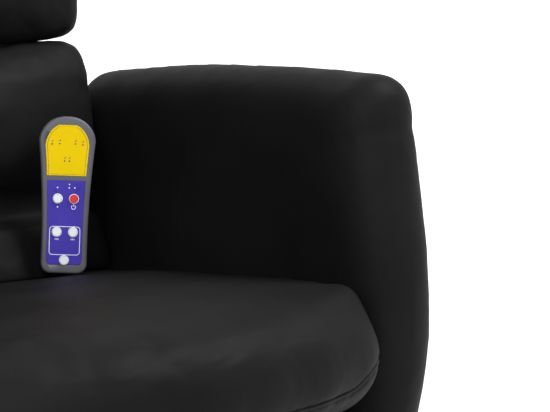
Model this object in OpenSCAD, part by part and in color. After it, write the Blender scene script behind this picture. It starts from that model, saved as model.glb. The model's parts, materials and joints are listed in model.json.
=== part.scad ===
// Massage recliner: round swivel base, reclining back, scissor footrest, tub arms and a handset.
// Millimetres, +Z up, front towards -Y, origin on the floor at the swivel axis.

/* [Swivel base] */
// Radius of the round floor plate
base_r = 285; // [265:5:320]
// Thickness of the floor plate at its rim
base_rim_t = 6; // [4:1:9]
// Thickness of the floor plate at its hub
base_hub_t = 16; // [12:1:22]
// Radius of the raised hub of the floor plate
base_hub_r = 95; // [85:5:120]
// Thickness of the soft disc under the floor plate
underlay_t = 3; // [2:1:5]
// Outer radius of the pedestal column
column_r = 32; // [28:1:40]
// Height of the pedestal column
column_h = 70; // [60:5:100]
// Width of the square swivel plates
swivel_plate_w = 190; // [170:5:220]
// Thickness of each swivel plate
swivel_plate_t = 6; // [5:1:8]
// Radius of the circle that the bearing balls run on
race_r = 70; // [60:1:78]
// Radius of a bearing ball
ball_r = 4.5; // [4:0.1:5]
// Number of bearing balls
ball_count = 24; // [16:2:30]

/* [Chassis] */
// Height of a chassis rail
rail_h = 30; // [25:1:35]
// Width of a chassis rail
rail_w = 20; // [16:1:24]
// Inner distance from the middle to a side plate
side_x = 229; // [225:1:235]
// Thickness of a side plate
side_t = 4; // [3:1:5]
// Rear end of the chassis rails
chassis_rear_y = 300; // [290:1:310]
// Front end of the chassis rails
chassis_front_y = -150; // [-155:1:-140]
// Distance of the two outrigger rails from the swivel axis
outrigger_y = 75; // [65:1:80]

/* [Seat] */
// Half width of the seat cushion
seat_half_w = 258; // [252:1:260]
// Height of the seat cushion's underside over the swivel axis
seat_z = 311; // [308:1:320]
// Rise of the seat towards the front, in degrees
seat_pitch = 9; // [8:0.5:9.5]
// Thickness of the seat cushion
seat_t = 120; // [110:1:124]
// Furthest forward point of the bowed seat front
seat_front_y = -383; // [-388:1:-376]
// Radius of the seat front's bow in plan
seat_bow_r = 485; // [460:5:520]
// Rear end of the seat cushion
seat_rear_y = 186; // [178:1:188]
// How far the seat's crown stands over its edges
seat_crown = 15; // [8:1:18]
// Outer size of the seat frame's square tube
seat_tube = 25; // [22:1:26]

/* [Arms] */
// Distance from the middle to an arm's inner face
arm_in_x = 262; // [261:1:266]
// Thickness of an arm
arm_w = 88; // [86:1:96]
// Height of the arm's top at its front
arm_top_z = 664; // [655:1:680]
// Height of the arm's top at its rear
arm_rear_top_z = 601; // [585:1:610]
// Foremost point of an arm
arm_front_y = -264.5; // [-270:0.5:-260]
// Rearmost point of an arm
arm_rear_y = 336; // [325:1:350]
// Thickness of the plywood panel inside an arm
panel_t = 18; // [15:1:20]

/* [Back] */
// Distance of the recline hinge behind the swivel axis
pivot_y = 285; // [280:1:290]
// Height of the recline hinge
pivot_z = 335; // [332:1:340]
// Lean of the back at rest, in degrees
back_lean = 11; // [10:0.5:13]
// Half width of the back cushions
back_half_w = 256; // [250:1:257]
// Length of the back from its hinge to its top
back_len = 706; // [690:1:730]
// Thickness of the back cushions at their edges
back_pad_t = 114; // [106:1:118]
// Length of the lumbar cushion
lumbar_len = 250; // [240:1:256]
// Length of the shoulder cushion
shoulder_len = 184; // [176:1:190]
// Outer size of the back frame's square tube
back_tube = 20; // [18:1:22]

/* [Footrest] */
// Distance of the torque tube in front of the swivel axis
drive_f = 187; // [185:1:190]
// Height of the torque tube
drive_z = 300; // [297:1:301]
// Length of a scissor link between its end pivots
link_len = 185; // [182:1:188]
// Width of a scissor link
link_w = 22; // [20:1:22]
// Thickness of a scissor link
link_t = 4; // [3:0.5:4.5]
// Outer radius of the torque tube
drive_r = 11; // [10:0.5:11]
// Half width of the footrest pad
foot_half_w = 248; // [235:1:250]
// Length of the footrest pad
foot_len = 205; // [190:1:215]
// Thickness of the footrest pad
foot_pad_t = 53; // [45:1:55]
// Length of the hand lever
lever_len = 178; // [160:1:190]

/* [Handset] */
// Length of the handset
handset_len = 164; // [155:1:175]
// Half width of the handset's head
head_half_w = 29.5; // [29:0.5:33]
// Half width of the handset's grip
grip_half_w = 24; // [22:0.5:26]
// Thickness of the handset
handset_t = 26; // [24:1:28]
// Radius of a handset button
button_r = 4.2; // [3.8:0.1:4.6]
// Travel of a handset button
button_travel = 0.8; // [0.6:0.1:1]

/* [Hidden] */
$fn = 48;

// Shared clearances and the overrun of cuts
run_gap = 0.06;
press_gap = 0.03;
seat_gap = 0.3;
cut = 1;
wall = 2;

// Swivel base, from the floor up
underlay_inset = 12;
base_rim_slope_w = 10;
base_top_z = underlay_t + base_hub_t;
flange_w = 38;
flange_r = column_r + flange_w;
flange_t = 6;
column_wall = 4;
column_bolt_r = 4;
column_bolt_head_r = 7.5;
column_bolt_head_t = 5;
column_bolt_depth = 10;
column_bolt_circle_r = (column_r + flange_r) / 2;
column_top_z = base_top_z + column_h;
swivel_corner_r = 14;
swivel_gap = 3;
lower_top_z = column_top_z + swivel_plate_t;
upper_z = lower_top_z + swivel_gap;
ball_z = lower_top_z + swivel_gap / 2;
king_r = 8;
king_head_r = 15;
king_head_t = 5;
chassis_z = upper_z + swivel_plate_t;
chassis_top_z = chassis_z + rail_h;

// Side plates
slot_half_w = 8;
slot_web_w = 8;
slot_arm_half_w = slot_half_w + slot_web_w;
plate_front_y = -150;
plate_ear_r = 22;
plate_top_drop = 4;
foot_notch_front = 8;
foot_notch_depth = 62;
pivot_pin_r = 6;
pin_head_r = 11;
pin_head_t = 4;

// Scissor links: folded, they stand side by side with a gap, and their angle to the horizontal and
// every pivot follow from that
link_gap = 3.75;
fold_angle = acos((link_w + link_gap) / link_len);
fold_reach = link_len * cos(fold_angle);
fold_drop = link_len * sin(fold_angle);
rivet_gap = 2;
rivet_r = 4;
rivet_head_r = 7;
rivet_head_t = 1.6;
outer_link_x = side_x - rivet_gap - link_t;
inner_link_x = outer_link_x - rivet_gap - link_t;
drive_y = -drive_f;
footrest_travel = 73;
slot_top_z = drive_z - link_len * sin(fold_angle - footrest_travel) + slot_half_w;
slot_low_z = drive_z - fold_drop - slot_half_w;
board_n = 25;
board_t = 12;
tube_wall = 2;
drive_boss_w = 2.5;
drive_boss_r = drive_r + drive_boss_w;

// Hand lever on the sitter's right
lever_rest_angle = 58;
lever_t = 7;
lever_hub_r = 19;
lever_hub_l = 16;
lever_tip_r = 8;
grip_r = 13;
grip_len = 92;
lever_gap = 3;
bezel_r = 27;
bezel_t = 12;
bezel_proud = 2;
shaft_gap = 1.5;
lever_x = arm_in_x + arm_w + bezel_proud + lever_gap;

// Arm outline in side view, as arcs between named corners
arm_bottom_z = chassis_top_z + seat_gap;
arm_belly_z = 456.5;
arm_top_run = 71.5;
arm_top_front_y = arm_front_y + arm_top_run;
arm_kink_drop = 44;
arm_kink_z = arm_top_z - arm_kink_drop;
arm_kink_run = 35.5;
arm_kink_y = arm_front_y + arm_kink_run;
arm_bottom_front_run = 151;
arm_bottom_front_y = arm_front_y + arm_bottom_front_run;
arm_bottom_rear_run = 112;
arm_bottom_rear_y = arm_rear_y - arm_bottom_rear_run;
arm_rear_belly_z = 455;
arm_rear_corner_run = 58;
arm_rear_corner_y = arm_rear_y - arm_rear_corner_run;
arm_top_sag = 9.6;
arm_corner_sag = 19.3;
arm_front_sag = 8.7;
arm_low_sag = 45;
arm_rear_sag = 15;
arm_rear_low_sag = 30;
arm_slice_t = 0.5;
arm_inner_round = 50;
arm_outer_round = 38;
panel_share = 0.8;
panel_centre_z = (arm_top_z + arm_bottom_z) / 2;
panel_x = arm_in_x + (arm_w - panel_t) / 2;
panel_foot_over = 12;
panel_foot_half_l = outrigger_y + rail_w + panel_foot_over;
outrigger_over = 8;
outrigger_x = panel_x + panel_t + outrigger_over;
arm_bolt_r = 4;
arm_bolt_head_r = 8;
arm_bolt_head_t = 4;
arm_bolt_grip = 26;

// Seat frame and what hangs on it
seat_frame_front_y = -165;
seat_frame_rear_y = 180;
seat_frame_half_w = side_x - seat_gap;
valance_depth = 40;
spring_wire = 3.5;
seat_spring_count = 5;
seat_spring_loops = 9;
spring_amp = 22;
spring_inset = 3;
strap_w = 30;
strap_t = 2;
motor_r = 26;
motor_h = 28;
motor_cap_r = 18;
motor_cap_h = 4;
seat_motor_x = 90;
seat_round_share = 0.48;
seat_rear_round = 30;
seat_crown_y = -60;
crown_shares = [-0.84, -0.5, 0, 0.5, 0.84];
pillow_rows = [-0.6, 0, 0.6];
frame_bolt_r = 4;
frame_bolt_head_r = 7;
frame_bolt_head_t = 4;
frame_bolt_y = [-130, 150];

// Back, measured from the hinge: v runs up the back, b runs to the rear
tube_start_v = 26;
back_side_gap = 6.7;
frame_half_w = side_x - back_side_gap;
bracket_x = frame_half_w + seat_gap;
bracket_t = 4;
bracket_len = 150;
low_cross_v = 44;
mid_cross_v = 318;
frame_top_drop = 22;
back_frame_len = back_len - frame_top_drop;
shell_over = 1;
shell_half_w = back_half_w + shell_over;
shell_wall = 8;
shell_depth = 52;
shell_lip = 12;
shell_low_v = -18;
shell_corner_r = 60;
shell_edge_r = 16;
shell_foot_gap = 5;
cushion_gap = 5;
cushion_rear_b = 0;
lumbar_v = 66;
shoulder_v = lumbar_v + lumbar_len + cushion_gap;
head_v = shoulder_v + shoulder_len + cushion_gap;
head_top_gap = 4;
head_len = back_len - head_v - head_top_gap;
cushion_round = 26;
cushion_rear_round = 36;
head_round = 42;
cushion_crown = 20;
cushion_side_crown = 14;
lumbar_roll_len = 82;
lumbar_roll_gap = 2;
back_spring_count = 6;
back_spring_loops = 9;
back_motor_x = 85;
strap_v = [190, 470];

// Rear apron, control box and power inlet
apron_half_w = 256;
apron_y = 322;
apron_t = 14;
apron_top_z = 283;
apron_round = 40;
box_w = 150;
box_l = 90;
box_h = 38;
box_y = 175;
inlet_x = 150;
inlet_z = 180;
inlet_r = 11;
inlet_flange_t = 3;
inlet_len = 20;
inlet_bore_r = 3.2;
inlet_depth = 11;

// Handset, resting on the seat against the lumbar cushion
handset_x = 156.8;
handset_y = 127.4;
handset_z = 424.4;
handset_yaw = 30;
handset_tilt = 9;
handset_roll = 3;
handset_wall = 2;
handset_split = 9;
handset_low_r = 10;
handset_low_sag = 2.9;
handset_side_sag = 2;
handset_top_sag = 7.8;
head_z_share = 0.85;
panel_inset = 6.5;
panel_recess = 1;
panel_plate_t = 1.2;
display_low_share = 0.625;
display_top_share = 0.95;
keypad_low_share = 0.055;
keypad_top_share = 0.596;
button_column = 8.5;
power_z = 78.5;
mode_z = 43.5;
speed_z = 14;
button_stand = 1.6;
button_gap = 0.15;
button_flange_r = 5.6;
button_flange_t = 0.8;
board_plate_t = 1.6;
board_depth = 8.4;
gland_r = 3;

// Points on an arc from p to q that bulges by sag to the left of the way from p to q
function bulge(p, q, sag, n = 8) =
    let (d = q - p, c = norm(d), r = (c * c / 4 + sag * sag) / (2 * sag),
        u = d / c, side = [-u[1], u[0]], m = (p + q) / 2 + side * (sag - r), a = asin(c / 2 / r))
    [for (i = [0 : n - 1]) let (t = -a + 2 * a * i / n) m + r * (u * sin(t) + side * cos(t))];

// How a padded face swells, from 1 at its middle to 0 at the edge share 1
function swell(share) = 1 - pow(abs(share), 3);

// Places a shape drawn in Y and Z on the plane x, with thickness t towards +X
module yz_plate(x, t) {
    translate([x, 0, 0]) rotate([90, 0, 90]) linear_extrude(t) children();
}

module both_sides() {
    children();
    mirror([1, 0, 0]) children();
}

module rounded_rect(w, h, r) {
    square([w - 2 * r, h], center = true);
    square([w, h - 2 * r], center = true);
    for (sx = [-1, 1], sy = [-1, 1]) translate([sx * (w / 2 - r), sy * (h / 2 - r)]) circle(r);
}

// Cylinder along X from x0 to x1
module x_rod(r, x0, x1) {
    translate([x0, 0, 0]) rotate([0, 90, 0]) cylinder(r = r, h = x1 - x0);
}

module on_seat() {
    translate([0, 0, seat_z]) rotate([-seat_pitch, 0, 0]) children();
}

module on_back() {
    translate([0, pivot_y, pivot_z]) rotate([-back_lean, 0, 0]) children();
}

// Swivel base
module base_underlay() {
    color("dimgray") cylinder(r = base_r - underlay_inset, h = underlay_t, $fn = 96);
}

module base_plate() {
    color("silver") translate([0, 0, underlay_t]) difference() {
        rotate_extrude($fn = 96) polygon([[0, 0], [base_r, 0], [base_r, base_rim_t / 2],
            [base_r - base_rim_slope_w, base_rim_t], [base_hub_r + base_rim_slope_w, base_rim_t * 2],
            [base_hub_r, base_hub_t], [0, base_hub_t]]);
        column_bolt_places() translate([0, 0, base_hub_t - column_bolt_depth])
            cylinder(r = column_bolt_r + press_gap, h = column_bolt_depth + cut);
    }
}

module column_bolt_places() {
    for (a = [45 : 90 : 315]) rotate([0, 0, a]) translate([column_bolt_circle_r, 0, 0]) children();
}

module pedestal_column() {
    color("silver") translate([0, 0, base_top_z]) difference() {
        union() {
            cylinder(r = flange_r, h = flange_t);
            cylinder(r = column_r, h = column_h);
            translate([0, 0, column_h - flange_t]) cylinder(r = flange_r, h = flange_t);
        }
        translate([0, 0, -cut]) cylinder(r = column_r - column_wall, h = column_h + 2 * cut);
        column_bolt_places() translate([0, 0, -cut])
            cylinder(r = column_bolt_r + press_gap, h = flange_t + 2 * cut);
    }
}

module column_bolts() {
    color("gray") translate([0, 0, base_top_z]) column_bolt_places() {
        translate([0, 0, flange_t]) cylinder(r = column_bolt_head_r, h = column_bolt_head_t, $fn = 6);
        translate([0, 0, -column_bolt_depth]) cylinder(r = column_bolt_r, h = column_bolt_depth + flange_t);
    }
}

module swivel_plate(bore_r) {
    difference() {
        linear_extrude(swivel_plate_t) rounded_rect(swivel_plate_w, swivel_plate_w, swivel_corner_r);
        translate([0, 0, -cut]) cylinder(r = bore_r, h = swivel_plate_t + 2 * cut);
    }
}

module race_cut() {
    translate([0, 0, ball_z]) rotate_extrude($fn = 96) translate([race_r, 0]) circle(ball_r + run_gap);
}

module swivel_lower_plate() {
    color("silver") difference() {
        translate([0, 0, column_top_z]) swivel_plate(king_r + press_gap);
        race_cut();
    }
}

module swivel_balls() {
    color("silver") for (i = [0 : ball_count - 1]) rotate([0, 0, 360 * i / ball_count])
        translate([race_r, 0, ball_z]) sphere(ball_r);
}

module king_pin() {
    color("gray") {
        translate([0, 0, column_top_z - king_head_t]) cylinder(r = king_head_r, h = king_head_t);
        translate([0, 0, column_top_z]) cylinder(r = king_r, h = chassis_z + seat_gap - column_top_z);
        translate([0, 0, chassis_z + seat_gap]) cylinder(r = king_head_r, h = king_head_t);
    }
}

module swivel_upper_plate() {
    color("silver") difference() {
        translate([0, 0, upper_z]) swivel_plate(king_r + run_gap);
        race_cut();
    }
}

// Chassis: welded tube, open at the tube ends
module chassis_rails(inset, over) {
    for (s = [-1, 1]) {
        translate([s > 0 ? side_x - rail_w + inset : -side_x + inset, chassis_front_y - over,
            chassis_z + inset])
            cube([rail_w - 2 * inset, chassis_rear_y - chassis_front_y + 2 * over, rail_h - 2 * inset]);
        translate([-outrigger_x - over, s * outrigger_y - rail_w / 2 + inset, chassis_z + inset])
            cube([2 * (outrigger_x + over), rail_w - 2 * inset, rail_h - 2 * inset]);
    }
    translate([-side_x + rail_w / 2, chassis_rear_y - rail_w + inset, chassis_z + inset])
        cube([2 * side_x - rail_w, rail_w - 2 * inset, rail_h - 2 * inset]);
}

module chassis_frame() {
    color("dimgray") difference() {
        chassis_rails(0, 0);
        chassis_rails(wall, cut);
        arm_bolt_places() translate([0, 0, -cut])
            cylinder(r = arm_bolt_r + press_gap, h = rail_h + 2 * cut);
    }
}

module arm_bolt_places() {
    for (sx = [-1, 1], sy = [-1, 1])
        translate([sx * (panel_x + panel_t / 2), sy * outrigger_y, chassis_z]) children();
}

module arm_bolts() {
    color("gray") arm_bolt_places() {
        translate([0, 0, -arm_bolt_head_t]) cylinder(r = arm_bolt_head_r, h = arm_bolt_head_t, $fn = 6);
        cylinder(r = arm_bolt_r, h = rail_h + arm_bolt_grip);
    }
}

function seat_line_z(y) = seat_z - seat_gap - y * tan(seat_pitch);

// One side plate: it carries the seat frame, the recline hinge, the torque tube and the link slot
module side_plate_outline() {
    difference() {
        union() {
            polygon([[plate_front_y, chassis_z], [chassis_rear_y, chassis_z],
                [pivot_y + plate_ear_r, pivot_z], [pivot_y - plate_ear_r, pivot_z],
                [seat_frame_rear_y, seat_line_z(seat_frame_rear_y) - plate_top_drop],
                [drive_y, seat_line_z(drive_y) - plate_top_drop],
                [drive_y - slot_arm_half_w, drive_z], [drive_y - slot_arm_half_w, slot_low_z]]);
            translate([pivot_y, pivot_z]) circle(plate_ear_r);
            translate([drive_y, slot_low_z + slot_half_w]) circle(slot_arm_half_w);
        }
        translate([drive_y, slot_low_z + slot_half_w]) circle(slot_half_w);
        translate([drive_y, slot_top_z - slot_half_w]) circle(slot_half_w);
        translate([drive_y - slot_half_w, slot_low_z + slot_half_w])
            square([2 * slot_half_w, slot_top_z - slot_low_z - 2 * slot_half_w]);
        translate([drive_y, drive_z]) circle(drive_r + run_gap);
        translate([pivot_y, pivot_z]) circle(pivot_pin_r + press_gap);
        for (s = [-1, 1]) translate([s * outrigger_y - rail_w / 2 - press_gap, chassis_z - cut])
            square([rail_w + 2 * press_gap, rail_h + cut + press_gap]);
        for (y = frame_bolt_y) translate([frame_bolt_world_y(y), frame_bolt_world_z(y)])
            circle(frame_bolt_r + press_gap);
        shell_foot_notch();
    }
}

// Room under the recline hinge for the foot of the back's shell, which swings down as the back leans
module shell_foot_notch() {
    translate([pivot_y, pivot_z]) difference() {
        translate([-foot_notch_front, -foot_notch_depth])
            square([foot_notch_front + plate_ear_r + cut, foot_notch_depth]);
        circle(plate_ear_r);
    }
}

function frame_bolt_world_y(y) = y * cos(seat_pitch) - (seat_tube / 2 + seat_gap) * sin(seat_pitch);
function frame_bolt_world_z(y) = seat_z - y * sin(seat_pitch) - (seat_tube / 2 + seat_gap) * cos(seat_pitch);

module left_side_plate() {
    color("dimgray") yz_plate(side_x, side_t) side_plate_outline();
}

module right_side_plate() {
    color("dimgray") yz_plate(-side_x - side_t, side_t) side_plate_outline();
}

module frame_bolts() {
    color("gray") both_sides() for (y = frame_bolt_y)
        translate([0, frame_bolt_world_y(y), frame_bolt_world_z(y)]) {
            x_rod(frame_bolt_r, seat_frame_half_w - seat_tube - frame_bolt_head_t, side_x + side_t);
            x_rod(frame_bolt_head_r, side_x + side_t, side_x + side_t + frame_bolt_head_t);
        }
}

module recline_bolts() {
    color("gray") both_sides() translate([0, pivot_y, pivot_z]) {
        x_rod(pivot_pin_r, bracket_x - seat_gap, side_x + side_t);
        x_rod(pin_head_r, side_x + side_t, side_x + side_t + pin_head_t);
        x_rod(pin_head_r, bracket_x - seat_gap - pin_head_t, bracket_x - seat_gap);
        x_rod(pin_head_r, bracket_x + bracket_t + seat_gap, side_x);
    }
}

// Seat frame, drawn in the tilted seat plane under the cushion
module seat_tubes(inset) {
    for (s = [-1, 1]) translate([s > 0 ? seat_frame_half_w - seat_tube + inset : -seat_frame_half_w + inset,
        seat_frame_front_y + inset, -seat_gap - seat_tube + inset])
        cube([seat_tube - 2 * inset, seat_frame_rear_y - seat_frame_front_y - 2 * inset,
            seat_tube - 2 * inset]);
    for (y = [seat_frame_front_y, seat_frame_rear_y - seat_tube])
        translate([-seat_frame_half_w + inset, y + inset, -seat_gap - seat_tube + inset])
            cube([2 * (seat_frame_half_w - inset), seat_tube - 2 * inset, seat_tube - 2 * inset]);
}

module seat_frame() {
    color("dimgray") difference() {
        on_seat() seat_tubes(0);
        on_seat() seat_tubes(wall);
        both_sides() for (y = frame_bolt_y)
            translate([0, frame_bolt_world_y(y), frame_bolt_world_z(y)])
                x_rod(frame_bolt_r + press_gap, seat_frame_half_w - seat_tube - cut, side_x);
    }
}

// A zigzag spring lying in X and Y: it runs along +Y from zero to len in round-ended loops
module zigzag(len, amp, loops) {
    pitch = len / loops;
    r = pitch / 2;
    for (i = [0 : loops - 1]) {
        s = i % 2 == 0 ? 1 : -1;
        translate([s * (amp - r), pitch * i + r]) difference() {
            circle(r + spring_wire / 2);
            circle(r - spring_wire / 2);
            translate([s > 0 ? -2 * r : 0, -2 * r]) square([2 * r, 4 * r]);
        }
        translate([-amp + r, pitch * i - spring_wire / 2])
            square([2 * (amp - r), spring_wire]);
    }
    translate([-amp + r, len - spring_wire / 2]) square([2 * (amp - r), spring_wire]);
}

module seat_springs() {
    span = seat_frame_rear_y - seat_frame_front_y - 2 * seat_tube;
    pitch_x = 2 * (seat_frame_half_w - seat_tube) / seat_spring_count;
    color("silver") on_seat() for (i = [0 : seat_spring_count - 1])
        translate([(i - (seat_spring_count - 1) / 2) * pitch_x, seat_frame_front_y + seat_tube
            + spring_wire / 2 + seat_gap, -seat_gap - spring_inset - spring_wire])
            linear_extrude(spring_wire)
                zigzag(span - spring_wire - 2 * seat_gap, spring_amp, seat_spring_loops);
}

// Seat cushion: a bow-fronted, crowned form with a round nose
module seat_cushion() {
    r = seat_t * seat_round_share;
    bow = seat_bow_r - r;
    corner_a = asin((seat_half_w - r) / bow);
    color([0.13, 0.125, 0.13]) on_seat() hull() {
        for (i = [-3 : 3]) translate([bow * sin(corner_a * i / 3),
            seat_front_y + seat_bow_r - bow * cos(corner_a * i / 3), seat_t / 2])
            sphere(r, $fn = 32);
        for (sx = [-1, 1], z = [seat_rear_round, seat_t - seat_rear_round])
            translate([sx * (seat_half_w - seat_rear_round), seat_rear_y - seat_rear_round, z])
                sphere(seat_rear_round, $fn = 24);
        for (x = crown_shares, y = crown_shares)
            translate([x * seat_half_w, seat_crown_y + y * (seat_rear_y - seat_crown_y),
                seat_t / 2 + seat_crown * swell(x) * swell(y)])
                cylinder(r = seat_t / 4, h = seat_t / 2, $fn = 24);
    }
}

module front_valance() {
    color([0.13, 0.125, 0.13]) on_seat()
        translate([-seat_frame_half_w, seat_frame_front_y - valance_depth, -seat_gap - seat_tube])
            cube([2 * seat_frame_half_w, valance_depth, seat_tube]);
}

module seat_motor_strap() {
    color("gray") on_seat() translate([-seat_frame_half_w, -strap_w / 2,
        -seat_gap - seat_tube - strap_t]) cube([2 * seat_frame_half_w, strap_w, strap_t]);
}

module motor_can() {
    cylinder(r = motor_r, h = motor_h);
    translate([0, 0, motor_h]) cylinder(r = motor_cap_r, h = motor_cap_h);
}

module seat_motors() {
    color("black") on_seat() for (sx = [-1, 1])
        translate([sx * seat_motor_x, 0, -seat_gap - seat_tube - strap_t]) mirror([0, 0, 1]) motor_can();
}

// Arms
function arm_outline() = concat(
    bulge([arm_rear_corner_y, arm_rear_top_z], [arm_top_front_y, arm_top_z], -arm_top_sag, 10),
    bulge([arm_top_front_y, arm_top_z], [arm_kink_y, arm_kink_z], -arm_corner_sag, 6),
    bulge([arm_kink_y, arm_kink_z], [arm_front_y, arm_belly_z], -arm_front_sag, 4),
    bulge([arm_front_y, arm_belly_z], [arm_bottom_front_y, arm_bottom_z], -arm_low_sag, 8),
    [[arm_bottom_front_y, arm_bottom_z]],
    bulge([arm_bottom_rear_y, arm_bottom_z], [arm_rear_y, arm_rear_belly_z], -arm_rear_low_sag, 6),
    bulge([arm_rear_y, arm_rear_belly_z], [arm_rear_corner_y, arm_rear_top_z], -arm_rear_sag, 6));

// A slice of the arm at the depth x, with its outline drawn in by inset
module arm_slice(x, inset) {
    yz_plate(x, arm_slice_t) offset(delta = -inset) polygon(arm_outline());
}

module arm_body() {
    hull() for (a = [0 : 22.5 : 90]) {
        arm_slice(arm_in_x + arm_inner_round * (1 - cos(a)), arm_inner_round * (1 - sin(a)));
        arm_slice(arm_in_x + arm_w - arm_slice_t - arm_outer_round * (1 - cos(a)),
            arm_outer_round * (1 - sin(a)));
    }
}

module panel_outline() {
    translate([0, panel_centre_z]) scale([panel_share, panel_share])
        translate([0, -panel_centre_z]) polygon(arm_outline());
    translate([-panel_foot_half_l, arm_bottom_z])
        square([2 * panel_foot_half_l, panel_centre_z - arm_bottom_z]);
}

module arm_with_pocket() {
    difference() {
        arm_body();
        yz_plate(panel_x, panel_t) panel_outline();
        translate([panel_x, -panel_foot_half_l, arm_bottom_z - 2 * cut])
            cube([panel_t, 2 * panel_foot_half_l, 2 * cut + rail_w]);
    }
}

module left_arm() {
    color([0.13, 0.125, 0.13]) arm_with_pocket();
}

module right_arm() {
    color([0.13, 0.125, 0.13]) difference() {
        mirror([1, 0, 0]) arm_with_pocket();
        translate([0, drive_y, drive_z]) {
            x_rod(drive_r + shaft_gap, -arm_in_x - arm_w - cut, -arm_in_x + cut);
            x_rod(bezel_r, -arm_in_x - arm_w - cut, -arm_in_x - arm_w + bezel_t);
        }
    }
}

module arm_panels() {
    color("burlywood") difference() {
        both_sides() yz_plate(panel_x, panel_t) panel_outline();
        arm_bolt_places() cylinder(r = arm_bolt_r + press_gap, h = rail_h + arm_bolt_grip);
        translate([0, drive_y, drive_z]) x_rod(drive_r + shaft_gap, -panel_x - panel_t - cut, -panel_x + cut);
    }
}

module lever_bezel() {
    color("black") translate([0, drive_y, drive_z]) difference() {
        x_rod(bezel_r - press_gap, -arm_in_x - arm_w - bezel_proud, -arm_in_x - arm_w + bezel_t);
        x_rod(drive_r + run_gap, -arm_in_x - arm_w - bezel_proud - cut, -arm_in_x - arm_w + bezel_t + cut);
    }
}

// Rear of the chassis
module rear_apron() {
    color([0.13, 0.125, 0.13]) difference() {
        translate([0, apron_y + apron_t, (chassis_z + apron_top_z) / 2]) rotate([90, 0, 0])
            linear_extrude(apron_t) rounded_rect(2 * apron_half_w, apron_top_z - chassis_z, apron_round);
        translate([inlet_x, apron_y - cut, inlet_z]) rotate([-90, 0, 0])
            cylinder(r = inlet_r - inlet_flange_t, h = apron_t + 2 * cut);
    }
    color("dimgray") for (sx = [-1, 1]) translate([sx * (side_x - rail_w / 2) - rail_w / 2,
        chassis_rear_y, chassis_z]) cube([rail_w, apron_y - chassis_rear_y, rail_h]);
}

module power_inlet() {
    color("black") translate([inlet_x, apron_y + apron_t, inlet_z]) rotate([90, 0, 0]) difference() {
        union() {
            translate([0, 0, -inlet_flange_t]) cylinder(r = inlet_r, h = inlet_flange_t);
            cylinder(r = inlet_r - inlet_flange_t - press_gap, h = inlet_len);
        }
        translate([0, 0, -inlet_flange_t - cut]) cylinder(r = inlet_bore_r, h = inlet_depth + cut);
    }
}

module control_box() {
    color("black") translate([-box_w / 2, box_y, chassis_top_z]) {
        cube([box_w, box_l, box_h]);
        translate([-side_x + rail_w + box_w / 2, box_l / 2 - strap_w / 2, 0])
            cube([2 * (side_x - rail_w), strap_w, strap_t]);
    }
}

// Back
module back_tubes(inset) {
    for (s = [-1, 1]) translate([s > 0 ? frame_half_w - back_tube + inset : -frame_half_w + inset,
        inset, tube_start_v + inset])
        cube([back_tube - 2 * inset, back_tube - 2 * inset, back_frame_len - tube_start_v - 2 * inset]);
    for (v = [low_cross_v, mid_cross_v, back_frame_len - back_tube])
        translate([-frame_half_w + inset, inset, v + inset])
            cube([2 * (frame_half_w - inset), back_tube - 2 * inset, back_tube - 2 * inset]);
}

module back_frame() {
    color("dimgray") on_back() difference() {
        back_tubes(0);
        back_tubes(wall);
    }
}

module back_brackets() {
    color("dimgray") on_back() both_sides() yz_plate(bracket_x, bracket_t) difference() {
        union() {
            circle(back_tube);
            square([back_tube, bracket_len]);
        }
        circle(pivot_pin_r + run_gap);
    }
}

// Springs across the back frame, each a zigzag that runs along X
module back_springs() {
    span = 2 * (frame_half_w - back_tube);
    low = low_cross_v + back_tube;
    free = back_frame_len - back_tube - low;
    color("silver") on_back() for (i = [0 : back_spring_count - 1]) {
        v = low + free * (i + 0.5) / back_spring_count;
        if (abs(v - mid_cross_v - back_tube / 2) > spring_amp + back_tube / 2 + spring_wire)
            translate([-span / 2 + spring_wire / 2 + seat_gap, spring_inset + spring_wire, v])
                rotate([90, 0, 0]) linear_extrude(spring_wire) rotate([0, 0, -90])
                    zigzag(span - spring_wire - 2 * seat_gap, spring_amp, back_spring_loops);
    }
}

// Outline of the back's shell: round at the top, square at the hinge
module shell_outline(w, len, r) {
    rounded_rect(w, len, r);
    translate([-w / 2, 0]) square([w, len / 2]);
}

module back_shell() {
    len = back_len - shell_low_v;
    color([0.13, 0.125, 0.13]) on_back() translate([0, 0, shell_low_v + len / 2]) rotate([-90, 0, 0])
        difference() {
            union() {
                translate([0, 0, -shell_lip])
                    linear_extrude(shell_depth + shell_lip - shell_edge_r)
                        shell_outline(2 * shell_half_w, len, shell_corner_r);
                hull() {
                    translate([0, 0, shell_depth - shell_edge_r - cut]) linear_extrude(cut)
                        shell_outline(2 * shell_half_w, len, shell_corner_r);
                    translate([0, 0, shell_depth - shell_edge_r / 3]) linear_extrude(cut)
                        shell_outline(2 * shell_half_w - shell_edge_r / 2, len - shell_edge_r / 2,
                            shell_corner_r);
                    translate([0, 0, shell_depth - cut]) linear_extrude(cut)
                        shell_outline(2 * (shell_half_w - shell_edge_r), len - 2 * shell_edge_r,
                            shell_corner_r - shell_edge_r);
                }
            }
            translate([0, 0, -shell_lip - cut]) linear_extrude(shell_depth + shell_lip + cut - shell_wall)
                shell_outline(2 * (shell_half_w - shell_wall), len - 2 * shell_wall,
                    shell_corner_r - shell_wall);
            translate([-shell_half_w + shell_wall, len / 2 - shell_wall - cut, -shell_lip - cut])
                cube([2 * (shell_half_w - shell_wall), shell_wall + 2 * cut,
                    shell_lip + plate_ear_r + shell_foot_gap + cut]);
        }
}

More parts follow.
